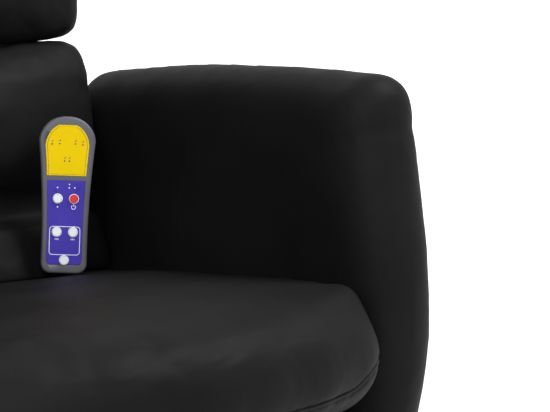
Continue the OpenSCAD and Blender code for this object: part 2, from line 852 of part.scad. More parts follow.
// A crowned pillow that stands on v, with its rear face on the frame; r rounds its front, rear_r its rear
module back_pillow(v, len, r, rear_r) {
    on_back() translate([0, cushion_rear_b, v + len / 2]) hull() {
        for (sx = [-1, 1], z = [-1, 1]) {
            translate([sx * (back_half_w - rear_r), -rear_r, z * (len / 2 - rear_r)])
                sphere(rear_r, $fn = 24);
            translate([sx * (back_half_w - r), -back_pad_t + r, z * (len / 2 - r)]) sphere(r, $fn = 24);
        }
        for (x = crown_shares, z = pillow_rows)
            translate([x * (back_half_w - r), -back_pad_t + r
                - (cushion_side_crown + cushion_crown * swell(x)) * swell(z), z * (len / 2 - r)])
                sphere(r, $fn = 12);
        for (sx = [-1, 1], z = pillow_rows)
            translate([sx * (back_half_w - r), -back_pad_t + r - cushion_side_crown * swell(z),
                z * (len / 2 - r)]) sphere(r, $fn = 24);
    }
}

// The lumbar cushion is a low roll under a tall one
module lumbar_cushion() {
    color([0.13, 0.125, 0.13]) {
        back_pillow(lumbar_v, lumbar_roll_len, cushion_round, cushion_rear_round);
        back_pillow(lumbar_v + lumbar_roll_len + lumbar_roll_gap, lumbar_len - lumbar_roll_len
            - lumbar_roll_gap, cushion_round, cushion_rear_round);
    }
}

module shoulder_cushion() {
    color([0.13, 0.125, 0.13]) back_pillow(shoulder_v, shoulder_len, cushion_round, cushion_rear_round);
}

module head_cushion() {
    color([0.13, 0.125, 0.13]) back_pillow(head_v, head_len, head_round, head_round);
}

module back_motor_straps() {
    color("gray") on_back() for (v = strap_v)
        translate([-frame_half_w, back_tube, v - strap_w / 2])
            cube([2 * frame_half_w, strap_t, strap_w]);
}

module back_motors() {
    color("black") on_back() for (sx = [-1, 1], v = strap_v)
        translate([sx * back_motor_x, back_tube + strap_t, v]) rotate([-90, 0, 0])
            cylinder(r = motor_r, h = shell_depth - shell_wall - back_tube - strap_t - motor_cap_h);
}

// Scissor footrest. A link runs down and forward, or up and forward, from its first pivot.
// f is the distance in front of the torque tube, and z the height over it.
module at_link(f, z) {
    translate([0, drive_y - f, drive_z + z]) children();
}

// Bar in Y and Z from the origin, len long, at the angle up from straight forward
module link_bar(len, up, first_r) {
    rotate([0, 0, 180 - up]) {
        circle(first_r);
        translate([0, -link_w / 2]) square([len, link_w]);
        translate([len, 0]) circle(link_w / 2);
    }
}

module link_hole(len, up, r) {
    rotate([0, 0, 180 - up]) translate([len, 0]) circle(r);
}

module torque_tube() {
    color("dimgray") at_link(0, 0) difference() {
        x_rod(drive_r, -lever_x - lever_hub_l, side_x + side_t + pin_head_t);
        x_rod(drive_r - tube_wall, -lever_x - lever_hub_l - cut, side_x + side_t + pin_head_t + cut);
    }
}

module drive_links() {
    color("dimgray") both_sides() at_link(0, 0) yz_plate(inner_link_x, link_t) difference() {
        link_bar(link_len, -fold_angle, drive_boss_r);
        circle(drive_r + press_gap);
        link_hole(link_len / 2, -fold_angle, rivet_r + press_gap);
        link_hole(link_len, -fold_angle, rivet_r + press_gap);
    }
}

module slot_links() {
    color("gray") both_sides() at_link(0, -fold_drop) yz_plate(outer_link_x, link_t) difference() {
        link_bar(link_len, fold_angle, link_w / 2);
        circle(rivet_r + press_gap);
        link_hole(link_len / 2, fold_angle, rivet_r + run_gap);
        link_hole(link_len, fold_angle, rivet_r + run_gap);
    }
}

module lift_links() {
    color("gray") both_sides() at_link(fold_reach, -fold_drop) yz_plate(outer_link_x, link_t) difference() {
        link_bar(link_len / 2, fold_angle, link_w / 2);
        circle(rivet_r + run_gap);
        link_hole(link_len / 2, fold_angle, rivet_r + press_gap);
    }
}

module footrest_links() {
    color("dimgray") both_sides() at_link(fold_reach, 0) yz_plate(inner_link_x, link_t) difference() {
        union() {
            link_bar(foot_len - link_w, -fold_angle, link_w / 2);
            rotate([0, 0, 180 + fold_angle]) translate([link_w, -board_n + seat_gap])
                square([foot_len - 2 * link_w, board_n - seat_gap]);
        }
        circle(rivet_r + press_gap);
        link_hole(link_len / 2, -fold_angle, rivet_r + run_gap);
    }
}

// A shouldered rivet through both link layers
module rivet() {
    x_rod(rivet_r, inner_link_x, outer_link_x + link_t);
    x_rod(rivet_head_r, inner_link_x - rivet_head_t - run_gap, inner_link_x - run_gap);
    x_rod(rivet_r, inner_link_x - run_gap, inner_link_x);
    x_rod(rivet_r, outer_link_x + link_t, outer_link_x + link_t + run_gap);
    x_rod(rivet_head_r, outer_link_x + link_t + run_gap, outer_link_x + link_t + rivet_head_t + run_gap);
    x_rod(rivet_head_r, inner_link_x + link_t + run_gap, outer_link_x - run_gap);
}

module centre_rivets() {
    color("silver") both_sides() at_link(fold_reach / 2, -fold_drop / 2) rivet();
}

module lower_rivets() {
    color("silver") both_sides() at_link(fold_reach, -fold_drop) rivet();
}

module upper_rivets() {
    color("silver") both_sides() at_link(fold_reach, 0) rivet();
}

module lift_rivets() {
    color("silver") both_sides() at_link(1.5 * fold_reach, -fold_drop / 2) rivet();
}

// Turned studs that run in the side plates' slots
module slot_rollers() {
    color("silver") both_sides() at_link(0, -fold_drop) {
        x_rod(rivet_r, outer_link_x, side_x);
        x_rod(rivet_head_r, outer_link_x - rivet_head_t, outer_link_x);
        x_rod(slot_half_w - run_gap, side_x - seat_gap, side_x + side_t + seat_gap);
        x_rod(slot_arm_half_w - pin_head_t, side_x + side_t + seat_gap, side_x + side_t + seat_gap + wall);
    }
}

// The footrest board and pad lie parallel to the footrest links: s runs along them, n runs outwards
module on_footrest() {
    at_link(fold_reach, 0) rotate([fold_angle, 0, 0]) children();
}

module footrest_board() {
    color("burlywood") on_footrest() translate([-foot_half_w + wall, -foot_len + wall, board_n])
        cube([2 * (foot_half_w - wall), foot_len - 2 * wall, board_t]);
}

module footrest_pad() {
    r = foot_pad_t / 2 - wall;
    color([0.13, 0.125, 0.13]) on_footrest() translate([0, 0, board_n + board_t]) hull()
        for (sx = [-1, 1], s = [-r, -foot_len + r], n = [r, foot_pad_t - r])
            translate([sx * (foot_half_w - r), s, n]) sphere(r, $fn = 24);
}

// Hand lever, drawn on the torque tube's axis outside the right arm
module lever_arm() {
    color("silver") at_link(0, 0) difference() {
        union() {
            x_rod(lever_hub_r, -lever_x - lever_hub_l, -lever_x);
            yz_plate(-lever_x - lever_hub_l, lever_t) rotate([0, 0, 180 - lever_rest_angle]) {
                polygon([[0, -lever_hub_r], [lever_len, -lever_tip_r], [lever_len, lever_tip_r],
                    [0, lever_hub_r]]);
                translate([lever_len, 0]) circle(lever_tip_r);
            }
        }
        x_rod(drive_r + press_gap, -lever_x - lever_hub_l - cut, -lever_x + cut);
    }
}

module lever_grip() {
    color("black") at_link(0, 0) difference() {
        translate([-lever_x - lever_hub_l + lever_t / 2, 0, 0]) rotate([90 - lever_rest_angle, 0, 0])
            translate([0, 0, lever_len - grip_len + lever_tip_r + wall]) {
                cylinder(r = grip_r, h = grip_len - grip_r);
                translate([0, 0, grip_len - grip_r]) sphere(grip_r);
                sphere(grip_r);
            }
        yz_plate(-lever_x - lever_hub_l, lever_t) rotate([0, 0, 180 - lever_rest_angle]) {
            polygon([[0, -lever_hub_r], [lever_len, -lever_tip_r], [lever_len, lever_tip_r],
                [0, lever_hub_r]]);
            translate([lever_len, 0]) circle(lever_tip_r);
        }
    }
}

// Handset: x runs across it, y into it, z up its length
module on_handset() {
    translate([handset_x, handset_y, handset_z]) rotate([0, 0, -handset_yaw])
        rotate([-handset_tilt, 0, 0]) rotate([0, handset_roll, 0]) children();
}

function handset_side() = concat(
    bulge([grip_half_w - handset_low_r, 0], [grip_half_w, handset_low_r], -handset_low_sag, 5),
    bulge([grip_half_w, handset_low_r], [head_half_w, handset_len * head_z_share], handset_side_sag, 8),
    bulge([head_half_w, handset_len * head_z_share], [0, handset_len], -handset_top_sag, 10));

function flip(points) = [for (i = [len(points) - 1 : -1 : 0]) [-points[i][0], points[i][1]]];

module handset_outline(inset) {
    k = (handset_len - 2 * inset) / handset_len;
    w = (head_half_w - inset) / head_half_w;
    side = [for (p = handset_side()) [p[0] * w, inset + p[1] * k]];
    polygon(concat(side, [[0, handset_len - inset]], flip(side)));
}

// A layer of the handset from the depth y to y + t behind its front face
module handset_layer(y, t) {
    translate([0, y + t, 0]) rotate([90, 0, 0]) linear_extrude(t) children();
}

module handset_panel_outline(low, top, gap) {
    intersection() {
        handset_outline(panel_inset + gap);
        translate([-head_half_w, low + gap]) square([2 * head_half_w, top - low - 2 * gap]);
    }
}

module button_holes(r) {
    for (p = button_places) translate(p) circle(r);
}

button_places = [[button_column, power_z], [-button_column, power_z], [-button_column, mode_z],
    [button_column, mode_z], [0, speed_z]];

module handset_rear_shell() {
    color([0.4, 0.4, 0.45]) on_handset() difference() {
        handset_layer(handset_split, handset_t - handset_split) handset_outline(0);
        handset_layer(handset_split - cut, handset_t - handset_split + cut - handset_wall)
            handset_outline(handset_wall);
        translate([0, (handset_split + handset_t) / 2, -cut])
            cylinder(r = gland_r, h = handset_wall + 2 * cut);
    }
}

module handset_front_shell() {
    color([0.4, 0.4, 0.45]) on_handset() difference() {
        handset_layer(0, handset_split) handset_outline(0);
        handset_layer(handset_wall + panel_recess, handset_split) handset_outline(handset_wall);
        handset_layer(-cut, panel_recess + cut)
            handset_panel_outline(handset_len * display_low_share, handset_len * display_top_share, 0);
        handset_layer(-cut, panel_recess + cut)
            handset_panel_outline(handset_len * keypad_low_share, handset_len * keypad_top_share, 0);
        handset_layer(0, handset_split) button_holes(button_r + button_gap);
    }
}

module handset_display_panel() {
    color([0.95, 0.83, 0.02]) on_handset() handset_layer(panel_recess - panel_plate_t, panel_plate_t)
        handset_panel_outline(handset_len * display_low_share, handset_len * display_top_share, button_gap);
}

module handset_keypad_panel() {
    color([0.25, 0.2, 0.62]) on_handset() handset_layer(panel_recess - panel_plate_t, panel_plate_t)
        difference() {
            handset_panel_outline(handset_len * keypad_low_share, handset_len * keypad_top_share,
                button_gap);
            button_holes(button_r + button_gap);
        }
}

module handset_board() {
    color("darkgreen") on_handset() {
        handset_layer(board_depth, board_plate_t) handset_outline(handset_wall + button_gap);
        for (p = button_places) handset_layer(board_depth - button_flange_t, button_flange_t)
            translate(p) circle(button_r / 2);
    }
}

// A push button: cap through the panel, with a flange behind the shell's face
module push_button(place) {
    behind = handset_wall + panel_recess + button_gap;
    on_handset() {
        handset_layer(-button_stand, button_stand + behind) translate(place) circle(button_r);
        handset_layer(behind, button_flange_t) translate(place) circle(button_flange_r);
        handset_layer(behind + button_flange_t, board_depth - button_flange_t - button_travel - button_gap
            - behind - button_flange_t) translate(place) circle(button_r / 2);
    }
}

module power_button() {
    color("red") push_button(button_places[0]);
}

module heat_button() {
    color("white") push_button(button_places[1]);
}

module left_mode_button() {
    color("white") push_button(button_places[2]);
}

module right_mode_button() {
    color("white") push_button(button_places[3]);
}

module speed_button() {
    color("white") push_button(button_places[4]);
}

base_underlay();
base_plate();
pedestal_column();
column_bolts();
swivel_lower_plate();
swivel_balls();
king_pin();
swivel_upper_plate();
chassis_frame();
left_side_plate();
right_side_plate();
seat_frame();
seat_springs();
seat_cushion();
front_valance();
left_arm();
right_arm();
arm_panels();
arm_bolts();
rear_apron();
seat_motor_strap();
seat_motors();
control_box();
power_inlet();
recline_bolts();
frame_bolts();
lever_bezel();
back_frame();
back_brackets();
back_springs();
back_shell();
lumbar_cushion();
shoulder_cushion();
head_cushion();
back_motor_straps();
back_motors();
torque_tube();
drive_links();
lever_arm();
lever_grip();
centre_rivets();
lower_rivets();
slot_links();
slot_rollers();
lift_links();
lift_rivets();
footrest_links();
upper_rivets();
footrest_board();
footrest_pad();
handset_rear_shell();
handset_front_shell();
handset_display_panel();
handset_keypad_panel();
handset_board();
power_button();
heat_button();
left_mode_button();
right_mode_button();
speed_button();
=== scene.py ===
# %% [markdown]
# # A swivel massage recliner in black leather
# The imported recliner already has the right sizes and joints. This lesson dresses it: the padded parts get
# stuffed leather covers with seams and piping, the steel, plywood and plastic get their finishes, and the
# handset gets its printed panels. Everything is in metres, with the front of the chair towards -Y.

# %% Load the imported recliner
import json
import math

import bmesh
import bpy
import numpy as np
from mathutils import Matrix, Vector
from mathutils import noise as perlin
from mathutils.bvhtree import BVHTree
from mathutils.kdtree import KDTree


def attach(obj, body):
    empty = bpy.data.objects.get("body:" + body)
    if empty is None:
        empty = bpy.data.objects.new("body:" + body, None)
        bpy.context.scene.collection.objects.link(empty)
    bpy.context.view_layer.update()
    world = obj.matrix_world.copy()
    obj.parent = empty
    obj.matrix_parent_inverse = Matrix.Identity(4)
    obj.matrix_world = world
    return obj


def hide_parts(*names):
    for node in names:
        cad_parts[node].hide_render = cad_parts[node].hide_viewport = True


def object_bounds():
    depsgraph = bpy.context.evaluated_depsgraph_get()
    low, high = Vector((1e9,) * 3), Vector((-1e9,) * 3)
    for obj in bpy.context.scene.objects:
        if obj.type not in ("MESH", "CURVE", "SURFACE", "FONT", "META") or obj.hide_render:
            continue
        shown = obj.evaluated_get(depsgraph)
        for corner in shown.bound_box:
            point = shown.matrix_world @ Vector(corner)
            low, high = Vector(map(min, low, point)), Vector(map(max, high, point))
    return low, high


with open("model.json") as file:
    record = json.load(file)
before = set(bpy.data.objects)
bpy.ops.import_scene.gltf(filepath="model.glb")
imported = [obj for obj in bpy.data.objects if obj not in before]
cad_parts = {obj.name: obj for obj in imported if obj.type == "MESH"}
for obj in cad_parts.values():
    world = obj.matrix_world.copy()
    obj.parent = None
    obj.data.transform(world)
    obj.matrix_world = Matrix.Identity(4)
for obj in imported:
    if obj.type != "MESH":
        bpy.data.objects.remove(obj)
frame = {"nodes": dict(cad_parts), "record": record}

nodes = frame["nodes"]
slot_of = {part["node"]: part["material_slot"] for part in frame["record"]["subparts"]}
cad_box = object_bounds()
MM = 0.001
low, high = [[round(c, 3) for c in corner] for corner in cad_box]
print(len(nodes), "nodes, CAD box from", low, "to", high)

# %% [markdown]
# ## Camera
# The photograph looks down on the sitter's left arm from the front right, through a long lens, so that
# upright edges stay almost parallel. A long focal length from three metres away gives the same flat look.

# %% Camera
camera_data = bpy.data.cameras.new("camera")
camera_data.lens = 196.4
camera_data.sensor_width = 36
camera = bpy.data.objects.new("camera", camera_data)
camera.location = (-1.462, -2.477, 1.158)
aim = Vector((0.262, -0.105, 0.524))
camera.rotation_euler = (aim - camera.location).to_track_quat("-Z", "Y").to_euler()
bpy.context.scene.collection.objects.link(camera)
bpy.context.scene.camera = camera
print("camera", round((aim - camera.location).length, 2), "m from the arm")

# %% [markdown]
# ## Finishes from nodes
# Every finish starts from the Principled shader. Uniform values such as metallic or sheen go on the
# shader's own sockets, while colour, roughness and bump come from noise in Object coordinates, because a
# piece's place is in its mesh and Object coordinates then stay fixed to the piece when it moves.

# %% Helpers for finishes
finishes = {}


def new_finish(name, roughness, metallic=0.0, specular=0.5):
    material = bpy.data.materials.new(name)
    material.use_nodes = True
    shader = material.node_tree.nodes["Principled BSDF"]
    shader.inputs["Roughness"].default_value = roughness
    shader.inputs["Metallic"].default_value = metallic
    shader.inputs["Specular IOR Level"].default_value = specular
    finishes[name] = material
    return material.node_tree, shader


def add_node(tree, kind, **values):
    """Adds a node: names with a capital are sockets, the others are settings."""
    node = tree.nodes.new(kind)
    for key, value in values.items():
        if key[0].isupper():
            node.inputs[key].default_value = value
        else:
            setattr(node, key, value)
    return node


def object_space(tree, scale=(1, 1, 1)):
    """Object coordinates, stretched for a pattern that has a direction."""
    place = add_node(tree, "ShaderNodeTexCoord")
    mapping = add_node(tree, "ShaderNodeMapping", Scale=scale)
    tree.links.new(place.outputs["Object"], mapping.inputs["Vector"])
    return mapping.outputs["Vector"]


def noise(tree, where, scale, detail=3.0, distortion=0.0):
    node = add_node(tree, "ShaderNodeTexNoise", Scale=scale, Detail=detail, Distortion=distortion)
    tree.links.new(where, node.inputs["Vector"])
    return node.outputs["Fac"]


def cells(tree, where, scale, feature="F1"):
    node = add_node(tree, "ShaderNodeTexVoronoi", Scale=scale, feature=feature)
    tree.links.new(where, node.inputs["Vector"])
    return node.outputs["Distance"]


print("helpers for patterns ready")

# %% Helpers that feed a socket
def ramp(tree, fac, stops, socket):
    """Turns a pattern into colours and feeds them to a socket. Each stop is (position, colour)."""
    node = add_node(tree, "ShaderNodeValToRGB")
    band = node.color_ramp
    while len(band.elements) < len(stops):
        band.elements.new(0.5)
    for element, (position, colour) in zip(band.elements, stops):
        element.position = position
        element.color = (*colour, 1)
    tree.links.new(fac, node.inputs["Fac"])
    tree.links.new(node.outputs["Color"], socket)


def spread(tree, fac, low, high, socket):
    """Maps a pattern from low to high and feeds it to a socket such as roughness."""
    node = add_node(tree, "ShaderNodeMapRange")
    node.inputs["To Min"].default_value = low
    node.inputs["To Max"].default_value = high
    tree.links.new(fac, node.inputs["Value"])
    tree.links.new(node.outputs["Result"], socket)


def bumps(tree, shader, layers):
    """Stacks bump layers of (pattern, depth in metres, strength) onto a shader."""
    before = None
    for height, depth, strength in layers:
        node = add_node(tree, "ShaderNodeBump", Distance=depth, Strength=strength)
        tree.links.new(height, node.inputs["Height"])
        if before:
            tree.links.new(before, node.inputs["Normal"])
        before = node.outputs["Normal"]
    tree.links.new(before, shader.inputs["Normal"])


print("helpers ready")

# %% [markdown]
# ## Leather
# The cover is black coated leather: satin, a little lighter where it is stretched, with a pebbled grain
# of about a millimetre, fine pores in it, and soft wrinkles some centimetres long. Three bump layers of
# falling size give that, and the sheen stays low so that shaded sides remain nearly black.

# %% Leather
def make_leather(name, dark, light, wrinkle):
    tree, shader = new_finish(name, 0.55, specular=0.055)
    where = object_space(tree)
    pebbles = cells(tree, where, 760.0, "SMOOTH_F1")
    pores = noise(tree, where, 2100.0, 2.0)
    folds = noise(tree, where, 17.0, 4.0, 1.1)
    tone = noise(tree, where, 5.5, 3.0)
    ramp(tree, tone, [(0.3, dark), (0.72, light)], shader.inputs["Base Color"])
    spread(tree, noise(tree, where, 38.0, 4.0), 0.49, 0.61, shader.inputs["Roughness"])
    bumps(tree, shader, [(folds, 3.0 * MM, wrinkle), (pebbles, 0.5 * MM, 0.22), (pores, 0.12 * MM, 0.25)])


make_leather("leather", (0.006, 0.0056, 0.006), (0.0105, 0.010, 0.0105), 0.16)
# The piping leather is the cover's own leather with a lighter base colour, a painted highlight that makes the
# welts show as thin bright lines.
make_leather("piping leather with painted highlight", (0.010, 0.0095, 0.010), (0.017, 0.0165, 0.017), 0.05)
print("leather and piping leather with painted highlight")

# %% [markdown]
# ## Steel and chrome
# The base is polished and plated, with faint smudges that only change its roughness. Links, rivets and
# straps are satin zinc plate, brushed along one direction. Frames have a black powder coat, whose fine
# orange peel shows as a low bump.

# %% Steel and chrome
tree, shader = new_finish("base_chrome", 0.14, metallic=1.0)
where = object_space(tree)
smudges = [(0.35, (0.60, 0.60, 0.61)), (0.7, (0.72, 0.72, 0.73))]
ramp(tree, noise(tree, where, 9.0), smudges, shader.inputs["Base Color"])
spread(tree, noise(tree, where, 26.0, 5.0), 0.09, 0.24, shader.inputs["Roughness"])

tree, shader = new_finish("plated_steel", 0.34, metallic=1.0)
where = object_space(tree, scale=(1, 1, 14))
zinc = [(0.3, (0.42, 0.42, 0.42)), (0.75, (0.58, 0.57, 0.55))]
ramp(tree, noise(tree, where, 30.0, 4.0), zinc, shader.inputs["Base Color"])
spread(tree, noise(tree, where, 120.0, 3.0), 0.28, 0.45, shader.inputs["Roughness"])
bumps(tree, shader, [(noise(tree, where, 420.0, 2.0), 0.1 * MM, 0.15)])

tree, shader = new_finish("black_steel", 0.48)
where = object_space(tree)
powder = [(0.3, (0.018, 0.018, 0.019)), (0.75, (0.034, 0.034, 0.036))]
ramp(tree, noise(tree, where, 14.0), powder, shader.inputs["Base Color"])
spread(tree, noise(tree, where, 60.0), 0.42, 0.58, shader.inputs["Roughness"])
bumps(tree, shader, [(noise(tree, where, 620.0, 2.0), 0.25 * MM, 0.3)])

tree, shader = new_finish("spring_steel", 0.36, metallic=1.0)
where = object_space(tree, scale=(1, 6, 1))
drawn_wire = [(0.35, (0.24, 0.24, 0.25)), (0.7, (0.45, 0.45, 0.47))]
ramp(tree, noise(tree, where, 45.0, 4.0), drawn_wire, shader.inputs["Base Color"])
spread(tree, noise(tree, where, 210.0), 0.26, 0.5, shader.inputs["Roughness"])
print("chrome, plated steel, powder coat and spring steel")

# %% [markdown]
# ## Plywood, plastics and films
# Plywood is banded by its plies and streaked by its grain. Moulded plastics differ in how fine their
# sparked texture is. The handset's panels are printed films, so they are smooth and evenly coloured, and
# only their gloss varies.

# %% Plywood, plastics and films
tree, shader = new_finish("plywood", 0.62)
where = object_space(tree, scale=(9, 1, 1))
plies = [(0.28, (0.36, 0.22, 0.11)), (0.5, (0.52, 0.35, 0.19)), (0.74, (0.62, 0.45, 0.27))]
ramp(tree, noise(tree, where, 34.0, 6.0, 0.6), plies, shader.inputs["Base Color"])
bumps(tree, shader, [(noise(tree, where, 150.0, 4.0), 0.3 * MM, 0.3)])
print("plywood")

# %% Plastics and films
def make_plastic(name, dark, light, roughness, grain, depth, specular=0.5):
    """Moulded plastic with a sparked texture of grain cells a metre."""
    tree, shader = new_finish(name, roughness, specular=specular)
    where = object_space(tree)
    ramp(tree, noise(tree, where, 24.0), [(0.3, dark), (0.7, light)], shader.inputs["Base Color"])
    spread(tree, noise(tree, where, 95.0), roughness - 0.05, roughness + 0.07, shader.inputs["Roughness"])
    bumps(tree, shader, [(noise(tree, where, grain, 2.0), depth, 0.3)])


make_plastic("black_plastic", (0.014, 0.014, 0.014), (0.024, 0.024, 0.025), 0.5, 1400.0, 0.2 * MM)
make_plastic("handset_plastic", (0.090, 0.088, 0.108), (0.106, 0.104, 0.126), 0.46, 2300.0, 0.08 * MM, 0.3)
make_plastic("yellow_film", (0.80, 0.55, 0.0), (0.86, 0.61, 0.0), 0.36, 3100.0, 0.02 * MM, 0.05)
make_plastic("violet_film", (0.055, 0.04, 0.36), (0.07, 0.05, 0.42), 0.36, 3100.0, 0.02 * MM, 0.05)
make_plastic("red_plastic", (0.66, 0.015, 0.015), (0.76, 0.025, 0.025), 0.28, 2600.0, 0.03 * MM, 0.3)
make_plastic("white_plastic", (0.80, 0.81, 0.85), (0.88, 0.89, 0.92), 0.32, 2600.0, 0.03 * MM)
make_plastic("board_green", (0.012, 0.10, 0.04), (0.02, 0.17, 0.07), 0.42, 900.0, 0.1 * MM)
make_plastic("underlay", (0.020, 0.020, 0.021), (0.036, 0.036, 0.038), 0.88, 1900.0, 0.5 * MM)
make_plastic("print_dark", (0.10, 0.075, 0.01), (0.12, 0.09, 0.015), 0.4, 3100.0, 0.02 * MM)
make_plastic("print_light", (0.62, 0.63, 0.80), (0.70, 0.71, 0.86), 0.4, 3100.0, 0.02 * MM)
print(sorted(finishes))

# %% [markdown]
# ## Floor, backdrop and light
# The chair stands on a pale floor under a white sky. The floor adds a little light of its own only for
# the camera and for mirror-like rays, so that it reads white but keeps the chair's shadow. That light grows
# with the distance from the chair, because the lamps only reach the middle of the floor. One large soft
# lamp beside the camera and one above the left arm model the leather without hard highlights.

# %% Floor, backdrop and light
def white_for_viewer(tree):
    """1 for camera, glossy and transmission rays, else 0."""
    path = add_node(tree, "ShaderNodeLightPath")
    total = None
    for kind in ("Is Camera Ray", "Is Glossy Ray", "Is Transmission Ray"):
        if total is None:
            total = path.outputs[kind]
            continue
        adder = add_node(tree, "ShaderNodeMath", operation="MAXIMUM")
        tree.links.new(total, adder.inputs[0])
        tree.links.new(path.outputs[kind], adder.inputs[1])
        total = adder.outputs[0]
    return total


bm = bmesh.new()
bmesh.ops.create_grid(bm, x_segments=1, y_segments=1, size=9.0)
floor_mesh = bpy.data.meshes.new("floor")
bm.to_mesh(floor_mesh)
bm.free()
floor = bpy.data.objects.new("floor", floor_mesh)
bpy.context.scene.collection.objects.link(floor)
floor_finish = bpy.data.materials.new("floor")
floor_finish.use_nodes = True
tree = floor_finish.node_tree
shader = tree.nodes["Principled BSDF"]
shader.inputs["Base Color"].default_value = (0.8, 0.8, 0.8, 1)
shader.inputs["Roughness"].default_value = 0.9
shader.inputs["Specular IOR Level"].default_value = 0.1
shader.inputs["Emission Color"].default_value = (1, 1, 1, 1)
place = add_node(tree, "ShaderNodeTexCoord")
away = add_node(tree, "ShaderNodeVectorMath", operation="LENGTH")
tree.links.new(place.outputs["Object"], away.inputs[0])
fade = add_node(tree, "ShaderNodeMapRange")
FLOOR_GLOW = {"From Min": 0.6, "From Max": 3.6, "To Min": 0.32, "To Max": 0.95}
for key, value in FLOOR_GLOW.items():
    fade.inputs[key].default_value = value
tree.links.new(away.outputs["Value"], fade.inputs["Value"])
glow = add_node(tree, "ShaderNodeMath", operation="MULTIPLY")
tree.links.new(white_for_viewer(tree), glow.inputs[0])
tree.links.new(fade.outputs["Result"], glow.inputs[1])
tree.links.new(glow.outputs["Value"], shader.inputs["Emission Strength"])
floor_mesh.materials.append(floor_finish)
print("floor that glows for the camera")

# %% Sky and lamps
world = bpy.data.worlds.new("studio")
bpy.context.scene.world = world
world.use_nodes = True
tree = world.node_tree
sky = tree.nodes["Background"]
sky.inputs["Color"].default_value = (1, 1, 1, 1)
SKY_LIGHT, SKY_SEEN = 0.53, 1.0
spread(tree, white_for_viewer(tree), SKY_LIGHT, SKY_SEEN, sky.inputs["Strength"])
bpy.context.scene.view_settings.view_transform = "Standard"


def soft_lamp(name, place, size, power):
    """A square lamp that points at the chair's middle."""
    data = bpy.data.lights.new(name, "AREA")
    data.size = size
    data.energy = power
    lamp = bpy.data.objects.new(name, data)
    lamp.location = place
    lamp.rotation_euler = (Vector((0, 0, 0.5)) - lamp.location).to_track_quat("-Z", "Y").to_euler()
    bpy.context.scene.collection.objects.link(lamp)


soft_lamp("front lamp", Vector((-1.9, -2.3, 1.9)), size=1.6, power=59)
soft_lamp("top lamp", Vector((1.2, -0.8, 2.6)), size=1.2, power=69)
print("floor, sky and two lamps")

# %% [markdown]
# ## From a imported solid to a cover
# Every cushion of the chair is foam in a sewn leather bag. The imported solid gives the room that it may
# take. A merged copy of it is remeshed into even squares, so that smoothing and seams act the same
# everywhere, and its points are then moved as arrays, which is quick.

# %% Helpers for covers
def merged_copy(node):
    """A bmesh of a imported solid, with its loose triangles joined."""
    bm = bmesh.new()
    bm.from_mesh(nodes[node].data)
    bmesh.ops.remove_doubles(bm, verts=bm.verts, dist=0.02 * MM)
    return bm


def new_piece(name, bm, finish, body=None):
    """Makes an object of a bmesh, gives it a finish and lets it ride on a body."""
    mesh = bpy.data.meshes.new(name)
    bm.to_mesh(mesh)
    bm.free()
    mesh.shade_smooth()
    mesh.materials.append(finishes[finish])
    piece = bpy.data.objects.new(name, mesh)
    bpy.context.scene.collection.objects.link(piece)
    if body:
        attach(piece, body)
    return piece


print("helpers for pieces ready")

# %% Helpers that move a cover
def apply_modifiers(piece):
    graph = bpy.context.evaluated_depsgraph_get()
    mesh = bpy.data.meshes.new_from_object(piece.evaluated_get(graph))
    piece.modifiers.clear()
    piece.data = mesh
    mesh.shade_smooth()


def points_of(piece):
    co = np.empty(len(piece.data.vertices) * 3)
    piece.data.vertices.foreach_get("co", co)
    return co.reshape(-1, 3)


def normals_of(piece):
    out = np.empty(len(piece.data.vertices) * 3)
    piece.data.vertex_normals.foreach_get("vector", out)
    return out.reshape(-1, 3)


def move_points(piece, co):
    piece.data.vertices.foreach_set("co", co.ravel())
    piece.data.update()


def remesh(piece, voxel):
    step = piece.modifiers.new("even mesh", "REMESH")
    step.mode = "VOXEL"
    step.voxel_size = voxel
    apply_modifiers(piece)


def relax(piece, rounds):
    step = piece.modifiers.new("relax", "SMOOTH")
    step.factor = 0.5
    step.iterations = rounds
    apply_modifiers(piece)


def refine(piece):
    step = piece.modifiers.new("refine", "SUBSURF")
    step.levels = 1
    step.render_levels = 1
    apply_modifiers(piece)


def surface_of(piece):
    """A search tree over a finished piece."""
    return BVHTree.FromObject(piece, bpy.context.evaluated_depsgraph_get())


print("helpers for covers ready")

# %% [markdown]
# ## Stuffing a cover
# Foam presses on leather from inside until the seams hold it. Blender's cloth does the same with a
# pressure and no gravity. The bag starts a little smaller than its room, swells for a few frames, and no
# point may travel further than a cap. Smoothing and cloth both draw a bag away from its corners, so the
# cover then settles: the distance to its room, averaged over a hand's breadth, is given back, which keeps
# the small puffs. At the end no point may stand out of the room, so covers never run into each other.

# %% Stuffing
scene = bpy.context.scene
STUFFING_FRAMES = 16
STUFFING_PRESSURE = 4.0


def stuff(piece, cap):
    """Inflates a closed cover with cloth pressure, by at most cap."""
    start = points_of(piece)
    cloth = piece.modifiers.new("stuffing", "CLOTH")
    cloth.settings.use_pressure = True
    cloth.settings.uniform_pressure_force = STUFFING_PRESSURE
    cloth.settings.effector_weights.gravity = 0
    for number in range(1, STUFFING_FRAMES + 1):
        scene.frame_set(number)
    apply_modifiers(piece)
    move = points_of(piece) - start
    far = np.linalg.norm(move, axis=1, keepdims=True) + 1e-9
    move_points(piece, start + move * (cap * np.tanh(far / cap) / far))
    scene.frame_set(1)


print("stuffing ready:", STUFFING_FRAMES, "frames")

# %% Settling a cover in its room
def settle(piece, room, rounds):
    """Gives back the room that a cover has lost, averaged over rounds of neighbours."""
    tree = BVHTree.FromBMesh(room)
    co = points_of(piece)
    lost = np.empty(len(co))
    for i, point in enumerate(co):
        place, normal, _, _ = tree.find_nearest(Vector(point))
        lost[i] = (place - Vector(point)).dot(normal)
    ends = np.empty(len(piece.data.edges) * 2, dtype=int)
    piece.data.edges.foreach_get("vertices", ends)
    one, other = ends.reshape(-1, 2).T
    links = np.bincount(ends, minlength=len(co))
    for _ in range(rounds):
        around = np.bincount(one, lost[other], len(co)) + np.bincount(other, lost[one], len(co))
        lost = 0.5 * lost + 0.5 * around / links
    move_points(piece, co + normals_of(piece) * lost[:, None])
    return float(lost.max())


